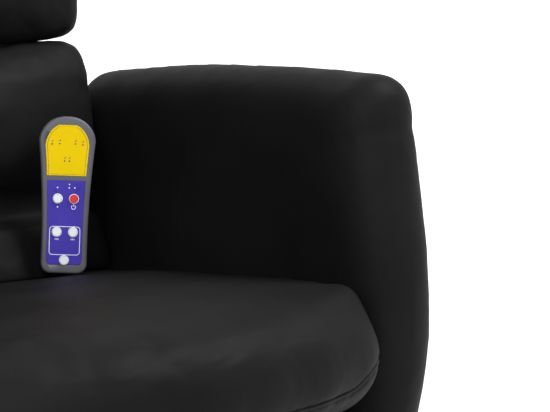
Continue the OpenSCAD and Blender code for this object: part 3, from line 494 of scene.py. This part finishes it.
def hold_inside(piece, room, over):
    """Brings points that stand further than over outside a solid back to that distance."""
    tree = BVHTree.FromBMesh(room)
    co = points_of(piece)
    out = 0
    for i, point in enumerate(co):
        place, normal, _, distance = tree.find_nearest(Vector(point))
        if (Vector(point) - place).dot(normal) > over:
            co[i] = place + normal * over
            out += 1
    move_points(piece, co)
    return out


print("settling ready")

# %% A stuffed cushion
COVER_OVER = 1.0 * MM


def cushion(name, node, body, voxel=6.0 * MM, shrink=9.0 * MM, cap=12.0 * MM, calm=3):
    """A stuffed leather cover in the room of a packed cushion; calm is how many rounds smooth its folds."""
    room = merged_copy(node)
    piece = new_piece(name, merged_copy(node), "leather")
    remesh(piece, voxel)
    relax(piece, 8)
    move_points(piece, points_of(piece) - normals_of(piece) * shrink)
    stuff(piece, cap)
    move_points(piece, points_of(piece) + normals_of(piece) * (shrink - cap * 0.75))
    relax(piece, calm)
    settle(piece, room, 60)
    given = settle(piece, room, 12)
    held = hold_inside(piece, room, COVER_OVER)
    room.free()
    relax(piece, 3)
    refine(piece)
    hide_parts(node)
    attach(piece, body)
    print(name, len(piece.data.vertices), "points,", held, "held back, last step", round(given / MM, 1), "mm")
    return piece

# %% [markdown]
# ## Seams, piping and wrinkles
# A seam pulls the leather into a narrow valley and gathers it into small puckers beside the thread. The
# line of a seam is found by cutting the cover with a plane, so it always lies on the surface. Points near
# the line sink, and a strip of piping is a thin tube that follows the same line.

# %% Seams, piping and wrinkles
def cut_line(piece, through, facing, keep=None):
    """The longest closed line where a plane cuts a piece, as an array of points; keep picks an open part."""
    bm = bmesh.new()
    bm.from_mesh(piece.data)
    everything = bm.verts[:] + bm.edges[:] + bm.faces[:]
    bmesh.ops.bisect_plane(bm, geom=everything, plane_co=through, plane_no=facing,
                           clear_inner=True, clear_outer=True)
    bmesh.ops.remove_doubles(bm, verts=bm.verts, dist=0.2 * MM)
    best = []
    seen = set()
    for start in bm.verts:
        if start in seen:
            continue
        line = [start]
        seen.add(start)
        while True:
            onward = [e.other_vert(line[-1]) for e in line[-1].link_edges]
            onward = [v for v in onward if v not in seen]
            if not onward:
                break
            line.append(onward[0])
            seen.add(onward[0])
        if len(line) > len(best):
            best = line
    path = np.array([v.co for v in best])
    bm.free()
    if keep is not None:
        wanted = np.array([bool(keep(p)) for p in path])
        first = int(np.argmax(~wanted))
        path = np.roll(path, -first, axis=0)
        wanted = np.roll(wanted, -first)
        path = path[wanted]
    return path


print("plane cuts ready")

# %% Paths
def even_path(path, step, closed=False):
    """The same path with points at equal steps."""
    if closed:
        path = np.vstack([path, path[:1]])
    run = np.concatenate([[0], np.cumsum(np.linalg.norm(np.diff(path, axis=0), axis=1))])
    count = max(int(run[-1] / step), 4)
    places = np.linspace(0, run[-1], count + 1)
    if closed:
        places = places[:-1]
    return np.stack([np.interp(places, run, path[:, k]) for k in range(3)], axis=1)


def rounded_path(path, rounds, closed=False):
    for _ in range(rounds):
        ahead, behind = np.roll(path, -1, axis=0), np.roll(path, 1, axis=0)
        smoothed = 0.5 * path + 0.25 * (ahead + behind)
        if not closed:
            smoothed[0], smoothed[-1] = path[0], path[-1]
        path = smoothed
    return path


def nearest_on(path, co, reach):
    """Distance and place number on a path for each point nearer than reach."""
    tree = KDTree(len(path))
    for i, point in enumerate(path):
        tree.insert(point, i)
    tree.balance()
    low, high = path.min(axis=0) - reach, path.max(axis=0) + reach
    near = np.nonzero(np.all((co > low) & (co < high), axis=1))[0]
    found = [tree.find(co[i]) for i in near]
    place = np.array([f[1] for f in found], dtype=int)
    distance = np.array([f[2] for f in found])
    close = distance < reach
    return near[close], distance[close], place[close]


print("paths ready")

# %% Sewing and piping
def sew(piece, path, depth, width, pucker=0.0, spacing=9.0 * MM, closed=False, fade=0.0):
    """Sinks a seam into a cover, with puckers across it, and fades it out at its ends."""
    step = 1.5 * MM
    path = even_path(path, step, closed)
    co, out = points_of(piece), normals_of(piece)
    index, distance, place = nearest_on(path, co, width * 5)
    strength = np.ones(len(index))
    if fade:
        ends = np.minimum(place, len(path) - 1 - place) * step
        strength = np.clip(ends / fade, 0, 1) ** 0.7
    sunk = depth * np.exp(-(distance / width) ** 2)
    phase = np.array([perlin.noise(Vector((p * step / spacing, 0.3, 0.7))) for p in range(len(path))])
    gather = pucker * np.exp(-(distance / (2.4 * width)) ** 2) * (0.5 + phase[place])
    co[index] -= out[index] * ((sunk + gather) * strength)[:, None]
    move_points(piece, co)


def piping(name, cover, path, radius, proud, body, closed=False):
    """A thin tube along a path, lifted so that it stands proud of the cover."""
    path = rounded_path(even_path(path, 5.0 * MM, closed), 3, closed)
    tree = surface_of(cover)
    places = []
    for point in path:
        place, normal, _, _ = tree.find_nearest(Vector(point))
        places.append(place + normal * (proud - radius))
    places = rounded_path(np.array(places), 2, closed)
    data = bpy.data.curves.new(name, "CURVE")
    data.dimensions = "3D"
    data.bevel_depth = radius
    data.bevel_resolution = 4
    data.use_fill_caps = not closed
    line = data.splines.new("POLY")
    line.points.add(len(places) - 1)
    line.use_cyclic_u = closed
    for spot, place in zip(line.points, places):
        spot.co = (*place, 1)
    curve = bpy.data.objects.new(name, data)
    bpy.context.scene.collection.objects.link(curve)
    graph = bpy.context.evaluated_depsgraph_get()
    mesh = bpy.data.meshes.new_from_object(curve.evaluated_get(graph))
    bpy.data.objects.remove(curve)
    mesh.materials.clear()
    # The welt gets the lighter piping leather, whose colour is a painted highlight.
    mesh.materials.append(finishes["piping leather with painted highlight"])
    mesh.shade_smooth()
    piece = bpy.data.objects.new(name, mesh)
    bpy.context.scene.collection.objects.link(piece)
    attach(piece, body)


print("sewing and piping ready")

# %% Wrinkles
def wrinkle(piece, height, size, share):
    """Soft wrinkles: noise of size (x, y, z) in metres, scaled by share(points) from 0 to 1."""
    co, out = points_of(piece), normals_of(piece)
    part = share(co)
    for i in np.nonzero(part > 0.01)[0]:
        x, y, z = co[i]
        ridge = perlin.noise(Vector((x / size[0], y / size[1], z / size[2])))
        fine = perlin.noise(Vector((2.3 * x / size[0], 2.1 * y / size[1], 2.2 * z / size[2] + 7)))
        co[i] += out[i] * height * part[i] * (ridge + 0.5 * fine)
    move_points(piece, co)


def hill(value, centre, width):
    """1 at the centre, falling to 0 a few widths away."""
    return np.exp(-((value - centre) / width) ** 2)


print("helpers for seams ready")

# %% [markdown]
# ## Seat cushion
# The seat is the largest cushion: a bow-fronted box of foam that rolls over its front edge. The light
# catches the crest of that roll, and just below it the leather lies in fine creases where it turns. Low on
# the front a welted seam joins the top cover to the boxing under it, and it climbs where it turns the
# corner to run back along the arm. The cushion is stuffed first, then the creases and the seam are worked
# in, and the welt is laid on last. The seam starts as a level cut and is lifted to its height at each
# distance from the middle, because no single plane follows its climb.

# %% Seat cushion
def tilted(origin, degrees):
    """The frame of a part that leans by degrees about X."""
    return Matrix.Translation(origin) @ Matrix.Rotation(math.radians(degrees), 4, "X")


def out_of(frame_matrix, local):
    """Points of a leaning part in the chair's coordinates."""
    turn = np.array(frame_matrix)
    return local @ turn[:3, :3].T + turn[:3, 3]


def into(frame_matrix, co):
    """Points in the coordinates of a leaning part."""
    return out_of(frame_matrix.inverted(), co)


SEAT_LEAN = -9
CREST_HEIGHT = 0.094
seat_place = tilted((0, 0, 0.311), SEAT_LEAN)
seat_cover = cushion("seat_cover", "seat_cushion", "chassis", calm=12)
print("seat stuffed")

# %% Creases of the seat
def seat_crease_share(co):
    local = into(seat_place, co)
    below_crest = hill(local[:, 2], CREST_HEIGHT, 0.020) * (local[:, 1] < -0.19)
    return below_crest * np.clip(1.15 - np.abs(local[:, 0]) / 0.24, 0, 1)


def seat_top_share(co):
    local = into(seat_place, co)
    return np.clip((local[:, 2] - 0.105) / 0.02, 0, 1) * np.clip((0.26 - np.abs(local[:, 0])) / 0.05, 0, 1)


wrinkle(seat_cover, 0.9 * MM, (0.035, 0.02, 0.012), seat_crease_share)
wrinkle(seat_cover, 2.2 * MM, (0.16, 0.11, 0.2), seat_top_share)
print("seat creased")

# %% Seam and welt of the seat
SEAM_CUT = 0.030
SEAM_FROM_MIDDLE = (0, 0.120, 0.168, 0.199, 0.213, 0.224, 0.235, 0.252)
SEAM_HEIGHTS = (0.020, 0.021, 0.024, 0.028, 0.038, 0.044, 0.050, 0.056)
seat_up = seat_place.to_3x3() @ Vector((0, 0, 1))
seat_seam = cut_line(seat_cover, seat_place @ Vector((0, 0, SEAM_CUT)), seat_up, keep=lambda p: p[1] < 0.13)
local = into(seat_place, seat_seam)
wanted = np.interp(np.abs(local[:, 0]), SEAM_FROM_MIDDLE, SEAM_HEIGHTS)
raised = seat_seam + (wanted - local[:, 2])[:, None] * np.array(seat_up)
tree = surface_of(seat_cover)
seat_seam = np.array([tree.find_nearest(Vector(p))[0] for p in raised])
sew(seat_cover, seat_seam, 2.2 * MM, 4.0 * MM, pucker=1.2 * MM, fade=0.02)
piping("seat_welt", seat_cover, seat_seam, 2.3 * MM, 2.4 * MM, "chassis")
print("seat seam", round(float(np.linalg.norm(np.diff(seat_seam, axis=0), axis=1).sum()), 2), "m")

# %% [markdown]
# ## Arms
# Each arm is a plywood panel wrapped in thick foam, so it has no sharp edge anywhere. Its inner face flows
# into a broad roll at the front and along the top. The top roll ends in front with a small overhang,
# where a short seam runs across and fades out, and a welted seam edges the flat outer panel. Foam glued
# to a panel hardly moves, so the arm is not stuffed with cloth. Its convex skin is remeshed and relaxed,
# and what the smoothing took away is given back.

# %% Arms
ARM_OUTSIDE = 0.350
BELLY_HEIGHT = 0.40
BELLY_DEPTH = 2.2 * MM
OVERHANG_HEIGHT = 0.60
LEVER_AXIS = (-0.187, 0.300)


def outer_form(node):
    """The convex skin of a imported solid, without its pockets and bores."""
    bm = merged_copy(node)
    made = bmesh.ops.convex_hull(bm, input=bm.verts)
    spare = [g for g in made["geom_interior"] + made["geom_unused"] if isinstance(g, bmesh.types.BMVert)]
    bmesh.ops.delete(bm, geom=list(set(spare)), context="VERTS")
    kept = set(f for f in made["geom"] if isinstance(f, bmesh.types.BMFace))
    bmesh.ops.delete(bm, geom=[f for f in bm.faces if f not in kept], context="FACES_ONLY")
    bmesh.ops.recalc_face_normals(bm, faces=bm.faces)
    return bm


print("outer form ready")

# %% Arm covers
def arm_cover(name, node, side):
    piece = new_piece(name, outer_form(node), "leather")
    remesh(piece, 6.0 * MM)
    relax(piece, 14)
    room = outer_form(node)
    settle(piece, room, 40)
    room.free()
    move_points(piece, points_of(piece) + normals_of(piece) * 0.8 * MM)
    refine(piece)

    co, out = points_of(piece), normals_of(piece)
    belly = hill(co[:, 2], BELLY_HEIGHT, 0.17) * np.clip(side * out[:, 0] - out[:, 1], 0, 1)
    move_points(piece, co + out * (BELLY_DEPTH * belly)[:, None])

    def front_share(co):
        return hill(co[:, 2], OVERHANG_HEIGHT, 0.05) * np.clip((-0.17 - co[:, 1]) / 0.05, 0, 1)

    def wide_share(co):
        return np.clip((co[:, 2] - 0.2) / 0.2, 0, 1)

    wrinkle(piece, 2.0 * MM, (0.13, 0.14, 0.12), wide_share)
    wrinkle(piece, 0.7 * MM, (0.018, 0.03, 0.028), front_share)
    kink = cut_line(piece, Vector((side * 0.3, -0.24, 0.617)), Vector((0, 0.35, 1)),
                    keep=lambda p: p[1] < -0.165)
    sew(piece, kink, 1.0 * MM, 8.0 * MM, pucker=0.6 * MM, spacing=9.0 * MM, fade=0.06)
    edge = cut_line(piece, Vector((side * (ARM_OUTSIDE - 2.5 * MM), 0, 0)), Vector((1, 0, 0)))
    sew(piece, edge, 1.8 * MM, 3.5 * MM, pucker=1.0 * MM, closed=True)
    piping(name.replace("cover", "welt"), piece, edge, 2.0 * MM, 2.2 * MM, "chassis", closed=True)
    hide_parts(node)
    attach(piece, "chassis")
    print(name, len(piece.data.vertices), "points")
    return piece


print("arm covers ready to make")

# %% Both arms, with a pocket for the lever
arm_cover("left_arm_cover", "left_arm", 1)
right_arm_cover = arm_cover("right_arm_cover", "right_arm", -1)
co = points_of(right_arm_cover)
off_axis = np.hypot(co[:, 1] - LEVER_AXIS[0], co[:, 2] - LEVER_AXIS[1])
BEZEL_RADIUS, POCKET_DEPTH = 26 * MM, 10 * MM
under_bezel = (off_axis < BEZEL_RADIUS) & (co[:, 0] < -ARM_OUTSIDE + 30 * MM)
co[under_bezel, 0] += POCKET_DEPTH
move_points(right_arm_cover, co)
print("pocket for the lever's bezel", int(under_bezel.sum()), "points")

# %% [markdown]
# ## Back pillows
# Three pillows hang one above the other on the back. Each is a slack bag with more filling in its middle,
# so it swells between seams that run round its sides, and leather gathers at its corners. The lower two
# slump a little, as foam does under its own weight, and the lowest roll comes to rest on the seat.

# %% Back pillows
BACK_LEAN = -11
PILLOW_SEAM = -0.046
PILLOW_HALF_WIDTH = 0.25
CORNER_REACH = 0.055
back_place = tilted((0, 0.285, 0.335), BACK_LEAN)
back_up = back_place.to_3x3() @ Vector((0, 0, 1))
back_facing = back_place.to_3x3() @ Vector((0, 1, 0))


def slump(piece, heights, settled, wider=0.0):
    """Lets a pillow sag: heights above the hinge go to settled ones, and its low corners spread."""
    local = into(back_place, points_of(piece))
    low = np.clip((heights[2] - local[:, 2]) / (heights[2] - heights[0]) + 0.5, 0, 1)
    local[:, 0] *= 1 + wider * low
    local[:, 2] = np.interp(local[:, 2], heights, settled)
    move_points(piece, out_of(back_place, local))


def pillow(name, node, cap, heights=None, settled=None, wider=0.0):
    piece = cushion(name, node, "back", voxel=5.5 * MM, cap=cap)
    if heights:
        slump(piece, heights, settled, wider)
    middle = into(back_place, points_of(piece))
    v_low, v_high = middle[:, 2].min(), middle[:, 2].max()

    def face_share(co):
        local = into(back_place, co)
        return np.clip((-0.06 - local[:, 1]) / 0.03, 0, 1)

    def corner_share(co):
        local = into(back_place, co)
        from_end = np.minimum(local[:, 2] - v_low, v_high - local[:, 2])
        from_side = PILLOW_HALF_WIDTH - np.abs(local[:, 0])
        return np.clip(1 - np.minimum(from_end, from_side) / CORNER_REACH, 0, 1) * (local[:, 1] < -0.02)

    wrinkle(piece, 2.4 * MM, (0.12, 0.1, 0.09), face_share)
    wrinkle(piece, 1.1 * MM, (0.022, 0.03, 0.022), corner_share)
    side_seam = cut_line(piece, back_place @ Vector((0, PILLOW_SEAM, 0)), back_facing)
    sew(piece, side_seam, 2.6 * MM, 4.5 * MM, pucker=1.8 * MM, closed=True)
    return piece


print("pillow helpers ready")

# %% The three pillows
lumbar_pillow = pillow(
    "lumbar_pillow", "lumbar_cushion", 14 * MM,
    heights=(0.060, 0.095, 0.106, 0.119, 0.133, 0.147, 0.174, 0.225, 0.276, 0.320),
    settled=(0.049, 0.053, 0.060, 0.079, 0.108, 0.121, 0.162, 0.225, 0.267, 0.305))
pillow(
    "shoulder_pillow", "shoulder_cushion", 14 * MM,
    heights=(0.317, 0.332, 0.356, 0.400, 0.507), settled=(0.3005, 0.3135, 0.340, 0.392, 0.507), wider=0.012)
pillow("head_pillow", "head_cushion", 12 * MM)
print("three pillows made")

# %% The lowest roll on the seat
tree = surface_of(seat_cover)
co = points_of(lumbar_pillow)
SEAT_GAP = 0.4 * MM
pressed = 0
for i in np.nonzero(into(back_place, co)[:, 2] < 0.1)[0]:
    place, normal, _, _ = tree.find_nearest(Vector(co[i]))
    if (Vector(co[i]) - place).dot(normal) < SEAT_GAP:
        co[i] = place + normal * SEAT_GAP
        pressed += 1
move_points(lumbar_pillow, co)
print(pressed, "points of the lumbar pillow rest on the seat")

# %% [markdown]
# ## Back shell, apron and valance
# The rear of the back is a moulded tray wrapped in leather. A welt runs round it where the wrapped sides
# meet the panel behind, and one seam crosses the panel at the height of the shoulders. The apron under it
# and the strip under the seat's nose are covered boards with soft edges. A board carries the leather
# tightly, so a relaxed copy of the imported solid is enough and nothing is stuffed.

# %% Back shell, apron and valance
def covered_board(name, node, body, voxel, rounds):
    piece = new_piece(name, merged_copy(node), "leather")
    remesh(piece, voxel)
    relax(piece, rounds)
    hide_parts(node)
    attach(piece, body)
    return piece


back_cover = covered_board("back_cover", "back_shell", "back", 4.5 * MM, 4)
WELT_DEPTH, CROSS_SEAM_HEIGHT = 0.040, 0.43
back_edge = cut_line(back_cover, back_place @ Vector((0, WELT_DEPTH, 0)), back_facing)
sew(back_cover, back_edge, 1.5 * MM, 4.0 * MM, pucker=0.8 * MM, closed=True)
piping("back_welt", back_cover, back_edge, 2.4 * MM, 2.6 * MM, "back", closed=True)
cross_seam = cut_line(back_cover, back_place @ Vector((0, 0, CROSS_SEAM_HEIGHT)), back_up,
                      keep=lambda p: into(back_place, p[None])[0][1] > 0.0435)
sew(back_cover, cross_seam, 1.6 * MM, 3.0 * MM, pucker=0.9 * MM)
covered_board("valance_cover", "front_valance", "chassis", 4.0 * MM, 5)
covered_board("apron_cover", "rear_apron", "chassis", 3.5 * MM, 3)
print("back", len(back_cover.data.vertices), "points")

# %% [markdown]
# ## Footrest pad
# The footrest is a flat cushion on a board, sewn across into three rolls. It is stuffed like the others,
# and each channel is a deep, soft seam from edge to edge.

# %% Footrest pad
FOOTREST_LEAN = 82
BOARD_AHEAD = 0.02575
foot_place = tilted((0, LEVER_AXIS[0] - BOARD_AHEAD, LEVER_AXIS[1]), FOOTREST_LEAN)
foot_cover = cushion("foot_cover", "footrest_pad", "footrest", voxel=5.0 * MM, shrink=6 * MM, cap=9 * MM)
foot_local = into(foot_place, points_of(foot_cover))
foot_low, foot_high = foot_local.min(axis=0), foot_local.max(axis=0)
print("pad in its own frame", foot_low.round(3), foot_high.round(3))

# %% Footrest channels and piping
along = foot_place.to_3x3() @ Vector((0, 1, 0))
outward = foot_place.to_3x3() @ Vector((0, 0, 1))
pad_length = foot_high[1] - foot_low[1]
top_level = foot_low[2] + 0.6 * (foot_high[2] - foot_low[2])
for share in (1 / 3, 2 / 3):
    run = foot_low[1] + share * pad_length
    channel = cut_line(foot_cover, foot_place @ Vector((0, run, 0)), along,
                       keep=lambda p: into(foot_place, p[None])[0][2] > top_level)
    sew(foot_cover, channel, 8.0 * MM, 10.0 * MM, pucker=2.0 * MM, spacing=12 * MM, fade=0.05)
    sew(foot_cover, channel, 1.5 * MM, 2.5 * MM, fade=0.02)
edge_depth = foot_low[2] + 0.32 * (foot_high[2] - foot_low[2])
foot_edge = cut_line(foot_cover, foot_place @ Vector((0, 0, edge_depth)), outward)
sew(foot_cover, foot_edge, 1.6 * MM, 3.0 * MM, pucker=0.8 * MM, closed=True)
piping("foot_welt", foot_cover, foot_edge, 2.2 * MM, 2.2 * MM, "footrest", closed=True)
print("footrest sewn into three rolls")

# %% [markdown]
# ## Handset case
# The handset is a moulded box in two halves: a front frame with two shallow recesses for printed films,
# and a deep rear half that fits the palm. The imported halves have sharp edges, so a merged copy of each gets
# its outer edge rounded with a bevel. Only the edges between the face and the outer wall are picked.

# %% Handset case
HANDSET_DEPTH = 0.026
FACET_ANGLE = math.radians(0.6)
hand_turn = (Matrix.Rotation(math.radians(-30), 4, "Z") @ Matrix.Rotation(math.radians(-9), 4, "X")
             @ Matrix.Rotation(math.radians(3), 4, "Y"))
hand_corner = Vector((0.1568, 0.1274, 0.4244))
hand_place = Matrix.Translation(hand_corner) @ hand_turn


def round_outer_edge(name, node, face_depth, radius, finish):
    """A packed shell with the edge of its outline rounded at one depth of the handset."""
    bm = merged_copy(node)
    bmesh.ops.dissolve_limit(bm, angle_limit=FACET_ANGLE, verts=bm.verts, edges=bm.edges)
    back = hand_place.inverted()
    picked = []
    for edge in bm.edges:
        depths = [(back @ v.co).y for v in edge.verts]
        if max(abs(d - face_depth) for d in depths) > 0.05 * MM:
            continue
        reach = max(abs((back @ v.co).y - face_depth) for f in edge.link_faces for v in f.verts)
        if reach > 5 * MM and len(edge.link_faces) == 2 and edge.calc_face_angle() > 1.2:
            picked.append(edge)
    bmesh.ops.bevel(bm, geom=picked, offset=radius, segments=5, affect="EDGES", profile=0.5, material=-1)
    bmesh.ops.recalc_face_normals(bm, faces=bm.faces)
    piece = new_piece(name, bm, finish)
    piece.data.set_sharp_from_angle(angle=math.radians(38))
    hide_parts(node)
    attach(piece, "handset")
    print(name, len(picked), "edges rounded")


round_outer_edge("handset_front_case", "handset_front_shell", 0.0, 2.4 * MM, "handset_plastic")
round_outer_edge("handset_rear_case", "handset_rear_shell", HANDSET_DEPTH, 5.5 * MM, "handset_plastic")

# %% [markdown]
# ## Printing on the handset's films
# The films carry simple marks: lamp dots, short bars, a ring with a bar for power, and a frame round the
# middle buttons. Each mark starts flat, as a disc, a ring, a bar or a frame of two bridged loops, and is
# thickened by a few hundredths of a millimetre so that it exists as geometry.

# %% Marks on the films
FILM_FACE = -0.2 * MM
MARK_T = 0.07 * MM


def add_ring(bm, x, z, outer, inner, gap=0.0):
    """A flat ring, open by gap degrees at its top."""
    loops = []
    for radius in (outer, inner):
        made = bmesh.ops.create_circle(bm, radius=radius, segments=36)
        loops += [e for v in made["verts"] for e in v.link_edges]
    faces = bmesh.ops.bridge_loops(bm, edges=list(set(loops)))["faces"]
    if gap:
        middles = {f: f.calc_center_median() for f in faces}
        top = [f for f in faces if abs(math.degrees(math.atan2(middles[f].x, middles[f].y))) < gap / 2]
        bmesh.ops.delete(bm, geom=top, context="FACES")
        faces = [f for f in faces if f.is_valid]
    verts = list({v for f in faces for v in f.verts})
    bmesh.ops.translate(bm, vec=(x, z, 0), verts=verts)


def add_disc(bm, x, z, radius):
    made = bmesh.ops.create_circle(bm, cap_ends=True, radius=radius, segments=24)
    bmesh.ops.translate(bm, vec=(x, z, 0), verts=made["verts"])


def add_bar(bm, x, z, width, height):
    """A flat bar."""
    made = bmesh.ops.create_grid(bm, x_segments=1, y_segments=1, size=0.5)
    bmesh.ops.scale(bm, vec=(width, height, 1), verts=made["verts"])
    bmesh.ops.translate(bm, vec=(x, z, 0), verts=made["verts"])


def add_frame(bm, x, z, width, height, corner, line):
    """A flat frame with round corners: two circles, pulled apart into four corners and bridged."""
    loops = []
    for inset in (0.0, line):
        made = bmesh.ops.create_circle(bm, radius=corner - inset, segments=32)
        for vert in made["verts"]:
            right = math.copysign(1, vert.co.x) if abs(vert.co.x) > 0.01 * MM else 0
            up = math.copysign(1, vert.co.y) if abs(vert.co.y) > 0.01 * MM else 0
            vert.co.x += x + right * (width / 2 - corner)
            vert.co.y += z + up * (height / 2 - corner)
        loops += {e for v in made["verts"] for e in v.link_edges}
    bmesh.ops.bridge_loops(bm, edges=loops)


print("flat marks ready")

# %% Laying marks on a film
def print_on_film(name, bm, finish):
    """Makes a flat-shaded piece of the handset."""
    piece = new_piece(name, bm, finish, "handset")
    piece.data.shade_flat()


def place_marks(name, bm, finish):
    """Thickens flat marks and lays them on the film."""
    bmesh.ops.recalc_face_normals(bm, faces=bm.faces)
    bmesh.ops.solidify(bm, geom=bm.faces[:], thickness=MARK_T)
    bmesh.ops.recalc_face_normals(bm, faces=bm.faces)
    lift = max(v.co.z for v in bm.verts)
    upright = Matrix(((1, 0, 0, 0), (0, 0, 1, FILM_FACE - lift), (0, 1, 0, 0), (0, 0, 0, 1)))
    bmesh.ops.transform(bm, matrix=hand_place @ upright, verts=bm.verts)
    bmesh.ops.recalc_face_normals(bm, faces=bm.faces)
    print_on_film(name, bm, finish)


print("films can be printed")

# %% Marks on both films
bm = bmesh.new()
for x, z in ((-16, 135.4), (-8.2, 136), (8.2, 136), (16, 135.4), (-2.4, 118), (2.4, 118)):
    add_disc(bm, x * MM, z * MM, 0.95 * MM)
    add_bar(bm, x * MM, (z + 2.9) * MM, 2.2 * MM, 0.5 * MM)
    add_bar(bm, (x + 0.6) * MM, (z + 4.0) * MM, 0.5 * MM, 1.6 * MM)
place_marks("display_marks", bm, "print_dark")

bm = bmesh.new()
add_ring(bm, 8.3 * MM, 69.8 * MM, 2.6 * MM, 1.85 * MM, gap=70)
add_bar(bm, 8.3 * MM, 71.7 * MM, 0.7 * MM, 2.4 * MM)
add_frame(bm, 0, 34.4 * MM, 32.6 * MM, 30.4 * MM, 4.0 * MM, 0.85 * MM)
for x in (-8.3, 8.3):
    for step in (-1.5, 0, 1.5):
        add_bar(bm, (x + step) * MM, 36 * MM, 0.85 * MM, 1.7 * MM)
for x, z in ((-8.5, 69.8), (3.3, 93.4), (3.3, 90), (9, 90), (-9, 90)):
    add_disc(bm, x * MM, z * MM, 0.8 * MM)
place_marks("keypad_marks", bm, "print_light")
print("marks printed")

# %% [markdown]
# ## Border line and button rims
# A thin line runs inside the edge of the upper film, parallel to its outline, so it is made from the film's
# own face with two insets. A pale collar stands round each button.

# %% Border line and button rims
def thicken(bm, step):
    """Extrudes all faces by a step and turns them outwards."""
    made = bmesh.ops.extrude_face_region(bm, geom=bm.faces[:])
    raised = [v for v in made["geom"] if isinstance(v, bmesh.types.BMVert)]
    bmesh.ops.translate(bm, vec=step, verts=raised)
    bmesh.ops.recalc_face_normals(bm, faces=bm.faces)


def film_border(name, node, inset, line, finish):
    """A thin raised line inside the edge of a film."""
    bm = merged_copy(node)
    bmesh.ops.dissolve_limit(bm, angle_limit=FACET_ANGLE, verts=bm.verts, edges=bm.edges)
    facing = hand_place.inverted().to_3x3()
    front = [f for f in bm.faces if (facing @ f.normal).y < -0.9]
    face = max(front, key=lambda f: f.calc_area())
    bmesh.ops.delete(bm, geom=[f for f in bm.faces if f is not face], context="FACES")
    bmesh.ops.inset_region(bm, faces=[face], thickness=inset, use_boundary=True)
    bmesh.ops.delete(bm, geom=[f for f in bm.faces if f is not face], context="FACES")
    bmesh.ops.inset_region(bm, faces=[face], thickness=line, use_boundary=True)
    bmesh.ops.delete(bm, geom=[face], context="FACES_ONLY")
    thicken(bm, hand_place.to_3x3() @ Vector((0, -MARK_T, 0)))
    print_on_film(name, bm, finish)


film_border("display_border", "handset_display_panel", 1.7 * MM, 0.45 * MM, "print_dark")
print("border line laid")

# %% Button rims
bm = bmesh.new()
BUTTON_CENTRES = ((8.5, 78.5), (-8.5, 78.5), (-8.5, 43.5), (8.5, 43.5), (0, 14))
RIM_HEIGHT = 0.5 * MM
for x, z in BUTTON_CENTRES:
    add_ring(bm, x * MM, z * MM, 5.2 * MM, 4.45 * MM)
thicken(bm, Vector((0, 0, RIM_HEIGHT)))
top_edges = [e for e in bm.edges if all(v.co.z > 0.8 * RIM_HEIGHT for v in e.verts)]
rim_edges = [e for e in top_edges if len(e.link_faces) == 2 and e.calc_face_angle() > 1]
bmesh.ops.bevel(bm, geom=rim_edges, offset=0.2 * MM, segments=2, affect="EDGES", profile=0.5, material=-1)
lying = Matrix(((1, 0, 0, 0), (0, 0, -1, FILM_FACE), (0, 1, 0, 0), (0, 0, 0, 1)))
bmesh.ops.transform(bm, matrix=hand_place @ lying, verts=bm.verts)
bmesh.ops.recalc_face_normals(bm, faces=bm.faces)
rims = new_piece("button_rims", bm, "white_plastic", "handset")
print(len(BUTTON_CENTRES), "rims")

# %% [markdown]
# ## Crisp metal edges
# Pressed and machined parts always have a small edge radius that catches the light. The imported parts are
# already the right shape, so they keep their own mesh. A Weld joins its loose triangles and a Bevel
# rounds the corners sharper than 35 degrees, which also lets the round parts shade smoothly.

# %% Edge radii on the rigid parts
WELD_REACH = 0.02 * MM
SHARP_ANGLE = math.radians(35)


def ease_edges(node, width):
    """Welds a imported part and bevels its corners, as live modifiers."""
    part = nodes[node]
    custom = part.data.attributes.get("custom_normal")
    if custom:
        part.data.attributes.remove(custom)
    part.data.shade_smooth()
    weld = part.modifiers.new("weld", "WELD")
    weld.merge_threshold = WELD_REACH
    ease = part.modifiers.new("edges", "BEVEL")
    ease.width = width
    ease.segments = 2
    ease.limit_method = "ANGLE"
    ease.angle_limit = SHARP_ANGLE
    ease.harden_normals = True


replaced = {"seat_cushion", "left_arm", "right_arm", "lumbar_cushion", "shoulder_cushion", "head_cushion",
            "back_shell", "front_valance", "rear_apron", "footrest_pad", "handset_front_shell",
            "handset_rear_shell"}
SMALL_EDGE = 0.4
edge_width = {"base_plate": 1.5, "pedestal_column": 1.2, "swivel_lower_plate": 1.0,
              "swivel_upper_plate": 1.0, "chassis_frame": 1.6, "left_side_plate": 0.8,
              "right_side_plate": 0.8, "seat_frame": 1.6, "back_frame": 1.6, "arm_panels": 1.0,
              "footrest_board": 1.2, "control_box": 3.0, "lever_arm": 1.2, "lever_bezel": 1.0,
              "drive_links": 0.7, "slot_links": 0.7, "lift_links": 0.7, "footrest_links": 0.7}
for name in nodes:
    if name not in replaced:
        ease_edges(name, edge_width.get(name, SMALL_EDGE) * MM)
print("edges eased on", len(nodes) - len(replaced), "parts")

# %% [markdown]
# ## Finishes on the steel, plywood and plastic parts
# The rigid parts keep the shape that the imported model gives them. Each one gets the finish of its
# material slot.

# %% Finishes on the rigid parts
for name, part in nodes.items():
    finish = finishes[slot_of[name]]
    if part.material_slots:
        for material_slot in part.material_slots:
            material_slot.material = finish
    else:
        part.data.materials.append(finish)
print("finished", len(nodes), "parts")
